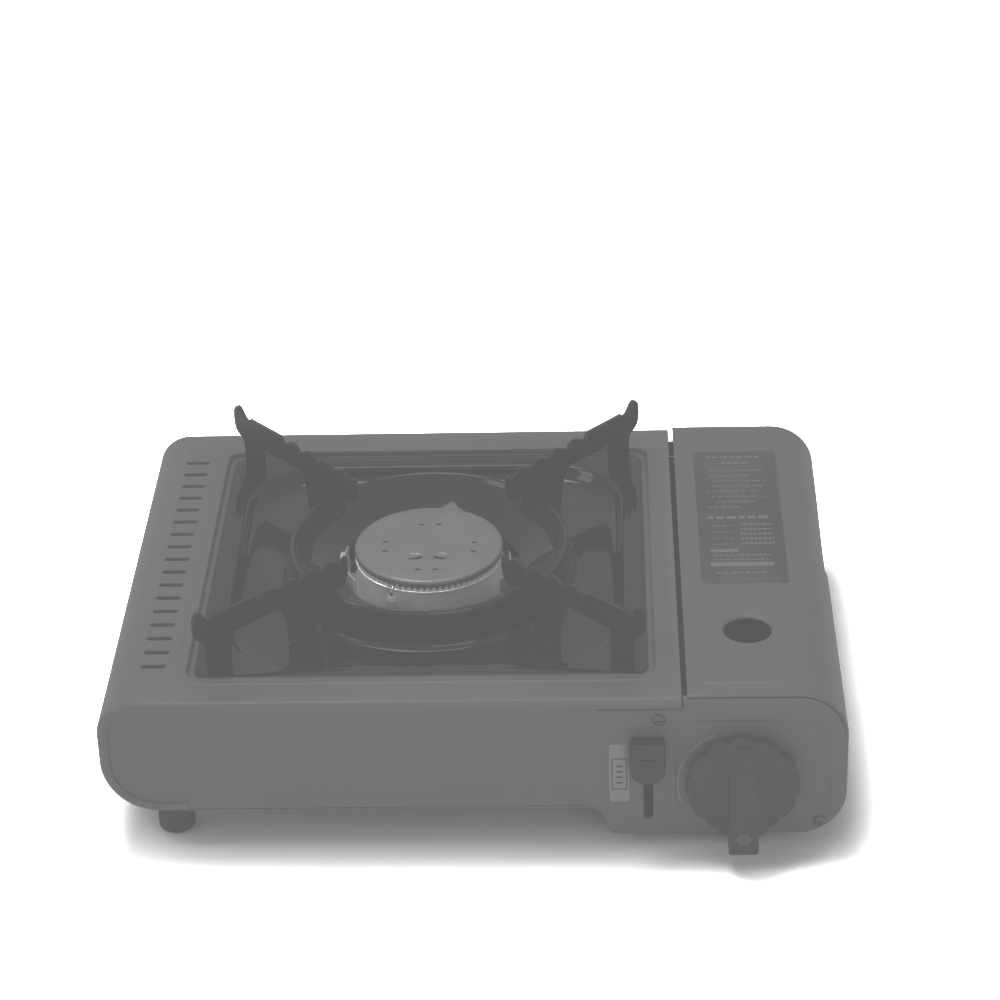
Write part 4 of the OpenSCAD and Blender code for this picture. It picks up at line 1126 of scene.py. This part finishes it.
def knob_mark():
    """Shallow round disc set in the grip's face."""
    face = FRONT - 21.9
    rings = [[(KNOB_X + r * cos(2 * pi * k / 48), y, KNOB_Z - 18.5 + r * sin(2 * pi * k / 48))
              for k in range(48)]
             for r, y in ((3.2, face + 0.3), (3.15, face - 0.02), (2.9, face - 0.06),
                          (0.01, face - 0.06))]
    return loft("mark", rings, MARK_FILL, sharp=40)


def lock_lever():
    """Shield-shaped lever: flat top, round foot, a lip at mid height, and a neck through the slot."""
    x0, x1 = LEVER_LOW[0], LEVER_HIGH[0]
    z0, z1 = LEVER_LOW[2], LEVER_HIGH[2]
    front = LEVER_LOW[1]
    back = FRONT - 0.5
    mid = z0 + 12

    def outline(inset):
        return round_rect(x0 + inset, z0 + inset, x1 - inset, z1 - inset,
                          (7.8 - inset, 7.8 - inset, 1.3, 1.3), 10)

    def depth(z, y):
        """The lower half of the face slopes back."""
        slope = 2.6 * ease((mid - z) / (mid - z0))
        return y + slope if y < front + 3 else y

    rings = []
    for inset, y in ((0.5, back), (0, back - 0.6), (0, front + 1.0), (0.1, front + 0.5),
                     (0.35, front + 0.15),
                     (0.8, front), (1.6, front), (2.6, front + 0.1), (3.2, front + 0.1)):
        rings.append([(x, depth(z, y), z) for x, z in outline(inset)])
    head = loft("lever_head", rings, LEVER_PLASTIC, (True, True), 40)
    neck_x = (x0 + x1) / 2 + 0.3
    neck = prism("neck", round_rect(neck_x - 1.9, z0 + 0.2, neck_x + 1.9, 43.5, 1.7, 6), back - 0.1,
                 LEVER_HIGH[1], LEVER_PLASTIC, "y")
    ridges = [prism("ridge", round_rect(x0 + 2.2, z1 - 2.6 - k * 2.1, x1 - 2.2, z1 - 1.6 - k * 2.1, 0.45,
                                        3),
                    front, front + 0.5, LEVER_PLASTIC, "y") for k in range(4)]
    whole = join("lever_shield", [head, neck] + ridges)
    place(whole, "lever", "lever_plastic", "lock_lever")


# ---------- small pieces ----------

def foot(node):
    """Rubber foot with a rounded sole and a groove under its head."""
    low, high = corners(node)
    centre = ((low[0] + high[0]) / 2, (low[1] + high[1]) / 2)
    r = (high[0] - low[0]) / 2
    top = high[2]
    line = [(0.01, 0), (r - 3.2, 0), (r - 2.2, 0.12), (r - 1.1, 0.6), (r - 0.35, 1.4), (r - 0.05, 2.5),
            (r, 3.4)]
    if top > 10:
        line += [(r - 0.1, top - 5), (r - 0.7, top - 4.3), (r - 0.8, top - 3.6), (r - 0.2, top - 2.9)]
    line += [(r, top - 1.2), (r - 0.15, top - 0.4), (r - 0.6, top), (0.01, top)]
    piece = lathe("rubber_" + node, line, RUBBER, centre, 64, False, 40)
    place(piece, "case", "rubber", node)


def dress_cad_nodes():
    """Gives each CAD node that stays its own material, and all but the plain ones a softened edge."""
    materials = {
        "rear_panel": PAINT, "base_tray": PAINT, "bay_wall": ZINC, "heat_plate": ZINC,
        "burner_bracket": ZINC,
        "burner_bowl": CAST, "mixing_tube": ZINC, "gas_jet": BRASS, "supply_pipe": BRASS,
        "regulator_bracket": ZINC,
        "regulator_body": DIE_CAST, "regulator_cover": ZINC, "regulator_screws": BRIGHT,
        "inlet_nozzle": BRASS,
        "inlet_seal": RUBBER, "canister_guide": ZINC, "igniter_body": IGNITER_PLASTIC,
        "ignition_lead": SLEEVE,
        "electrode_insulator": CERAMIC, "electrode_pin": BRIGHT, "electrode_bracket": GUARD,
        "case_screws": SCREW,
        "dial_marks": PRINT_LIGHT, "hinge_brackets": ZINC, "hinge_pins": BRIGHT, "lid_clip": ZINC,
        "valve_spindle": BRIGHT, "igniter_cam": IGNITER_PLASTIC, "igniter_plunger": IGNITER_PLASTIC,
        "lever_slide": ZINC, "crank_arm": ZINC, "canister_carriage": ZINC, "carriage_spring": BRIGHT,
        "arm_rivets": ENAMEL,
    }
    plain = {"ignition_lead", "carriage_spring", "dial_marks"}
    for name, material in materials.items():
        node = nodes[name]
        node.data.materials.clear()
        node.data.materials.append(material)
        if name in plain:
            continue
        weld = node.modifiers.new("weld", "WELD")
        weld.merge_threshold = 1e-6
        soften(node, 0.18, 2, 40)


# ---------- camera, light, floor ----------

def camera():
    data = bpy.data.cameras.new("camera")
    data.sensor_width = 36
    data.lens = 110.96
    cam = bpy.data.objects.new("camera", data)
    bpy.context.scene.collection.objects.link(cam)
    yaw, pitch, roll = radians(-2.146), radians(29.565), radians(-1.788)
    forward = Vector((sin(yaw) * cos(pitch), cos(yaw) * cos(pitch), -sin(pitch)))
    right = Vector((cos(yaw), -sin(yaw), 0))
    up = right.cross(forward)
    right_rolled = cos(roll) * right + sin(roll) * up
    up_rolled = -sin(roll) * right + cos(roll) * up
    turn = Matrix((right_rolled, up_rolled, -forward)).transposed()
    cam.matrix_world = Matrix.Translation((0.0601, -1.2758, 0.8421)) @ turn.to_4x4()
    bpy.context.scene.camera = cam


def area_light(name, at, aim, size, power, size_y=None):
    data = bpy.data.lights.new(name, "AREA")
    data.shape = "RECTANGLE"
    data.size = size
    data.size_y = size_y or size
    data.energy = power
    light = bpy.data.objects.new(name, data)
    bpy.context.scene.collection.objects.link(light)
    light.location = at
    light.rotation_euler = (Vector(aim) - Vector(at)).to_track_quat("-Z", "Y").to_euler()


def studio():
    world = bpy.data.worlds.new("studio")
    bpy.context.scene.world = world
    world.use_nodes = True
    background = world.node_tree.nodes["Background"]
    background.inputs["Color"].default_value = (1, 1, 1, 1)
    background.inputs["Strength"].default_value = 0.9
    area_light("top_softbox", (-0.15, 0.25, 1.3), (-0.02, 0.0, 0.08), 0.62, 9, 0.5)
    area_light("left_softbox", (-1.3, -0.5, 0.9), (0, 0, 0.05), 0.6, 7, 0.8)
    area_light("front_fill", (0.5, -1.6, 0.6), (0, 0, 0.05), 1.0, 6, 0.6)
    mesh = bpy.data.meshes.new("floor")
    size = 6
    mesh.from_pydata([(-size, -size, 0), (size, -size, 0), (size, size, 0), (-size, size, 0)], [],
                     [(0, 1, 2, 3)])
    floor_piece = bpy.data.objects.new("floor", mesh)
    bpy.context.scene.collection.objects.link(floor_piece)
    material, tree, shader = new_material("floor_paper")
    cloud = noise(tree, coords(tree), 3, 2)
    tree.links.new(tint(tree, cloud, grey(0.88), grey(0.92)), shader.inputs["Base Color"])
    shader.inputs["Roughness"].default_value = 0.9
    mesh.materials.append(material)


def soft_contrast():
    """Tone curve of a faded print: lifted blacks, close mid greys and a clean white ground."""
    view = bpy.context.scene.view_settings
    view.view_transform = "Standard"
    view.use_curve_mapping = True
    curve = view.curve_mapping.curves[3]
    curve.points[0].location = (0, 0.098)
    curve.points[1].location = (0.84, 1)
    for x, y in ((0.3, 0.205), (0.55, 0.3), (0.66, 0.46)):
        curve.points.new(x, y)
    view.curve_mapping.update()


camera()
studio()
case_shell()
front_plate()
lid_shell()
lid_label()
lock_label()
drip_pan()
collar()
for arm, angle in (("arm_front_left", 225), ("arm_front_right", -45), ("arm_back_right", 45),
                   ("arm_back_left", 135)):
    pot_arm(arm, angle)
burner_cap()
port_ring()
control_knob()
lock_lever()
for name in ("foot_front_left", "foot_front_right", "foot_back_left", "foot_back_right"):
    foot(name)
dress_cad_nodes()
soft_contrast()
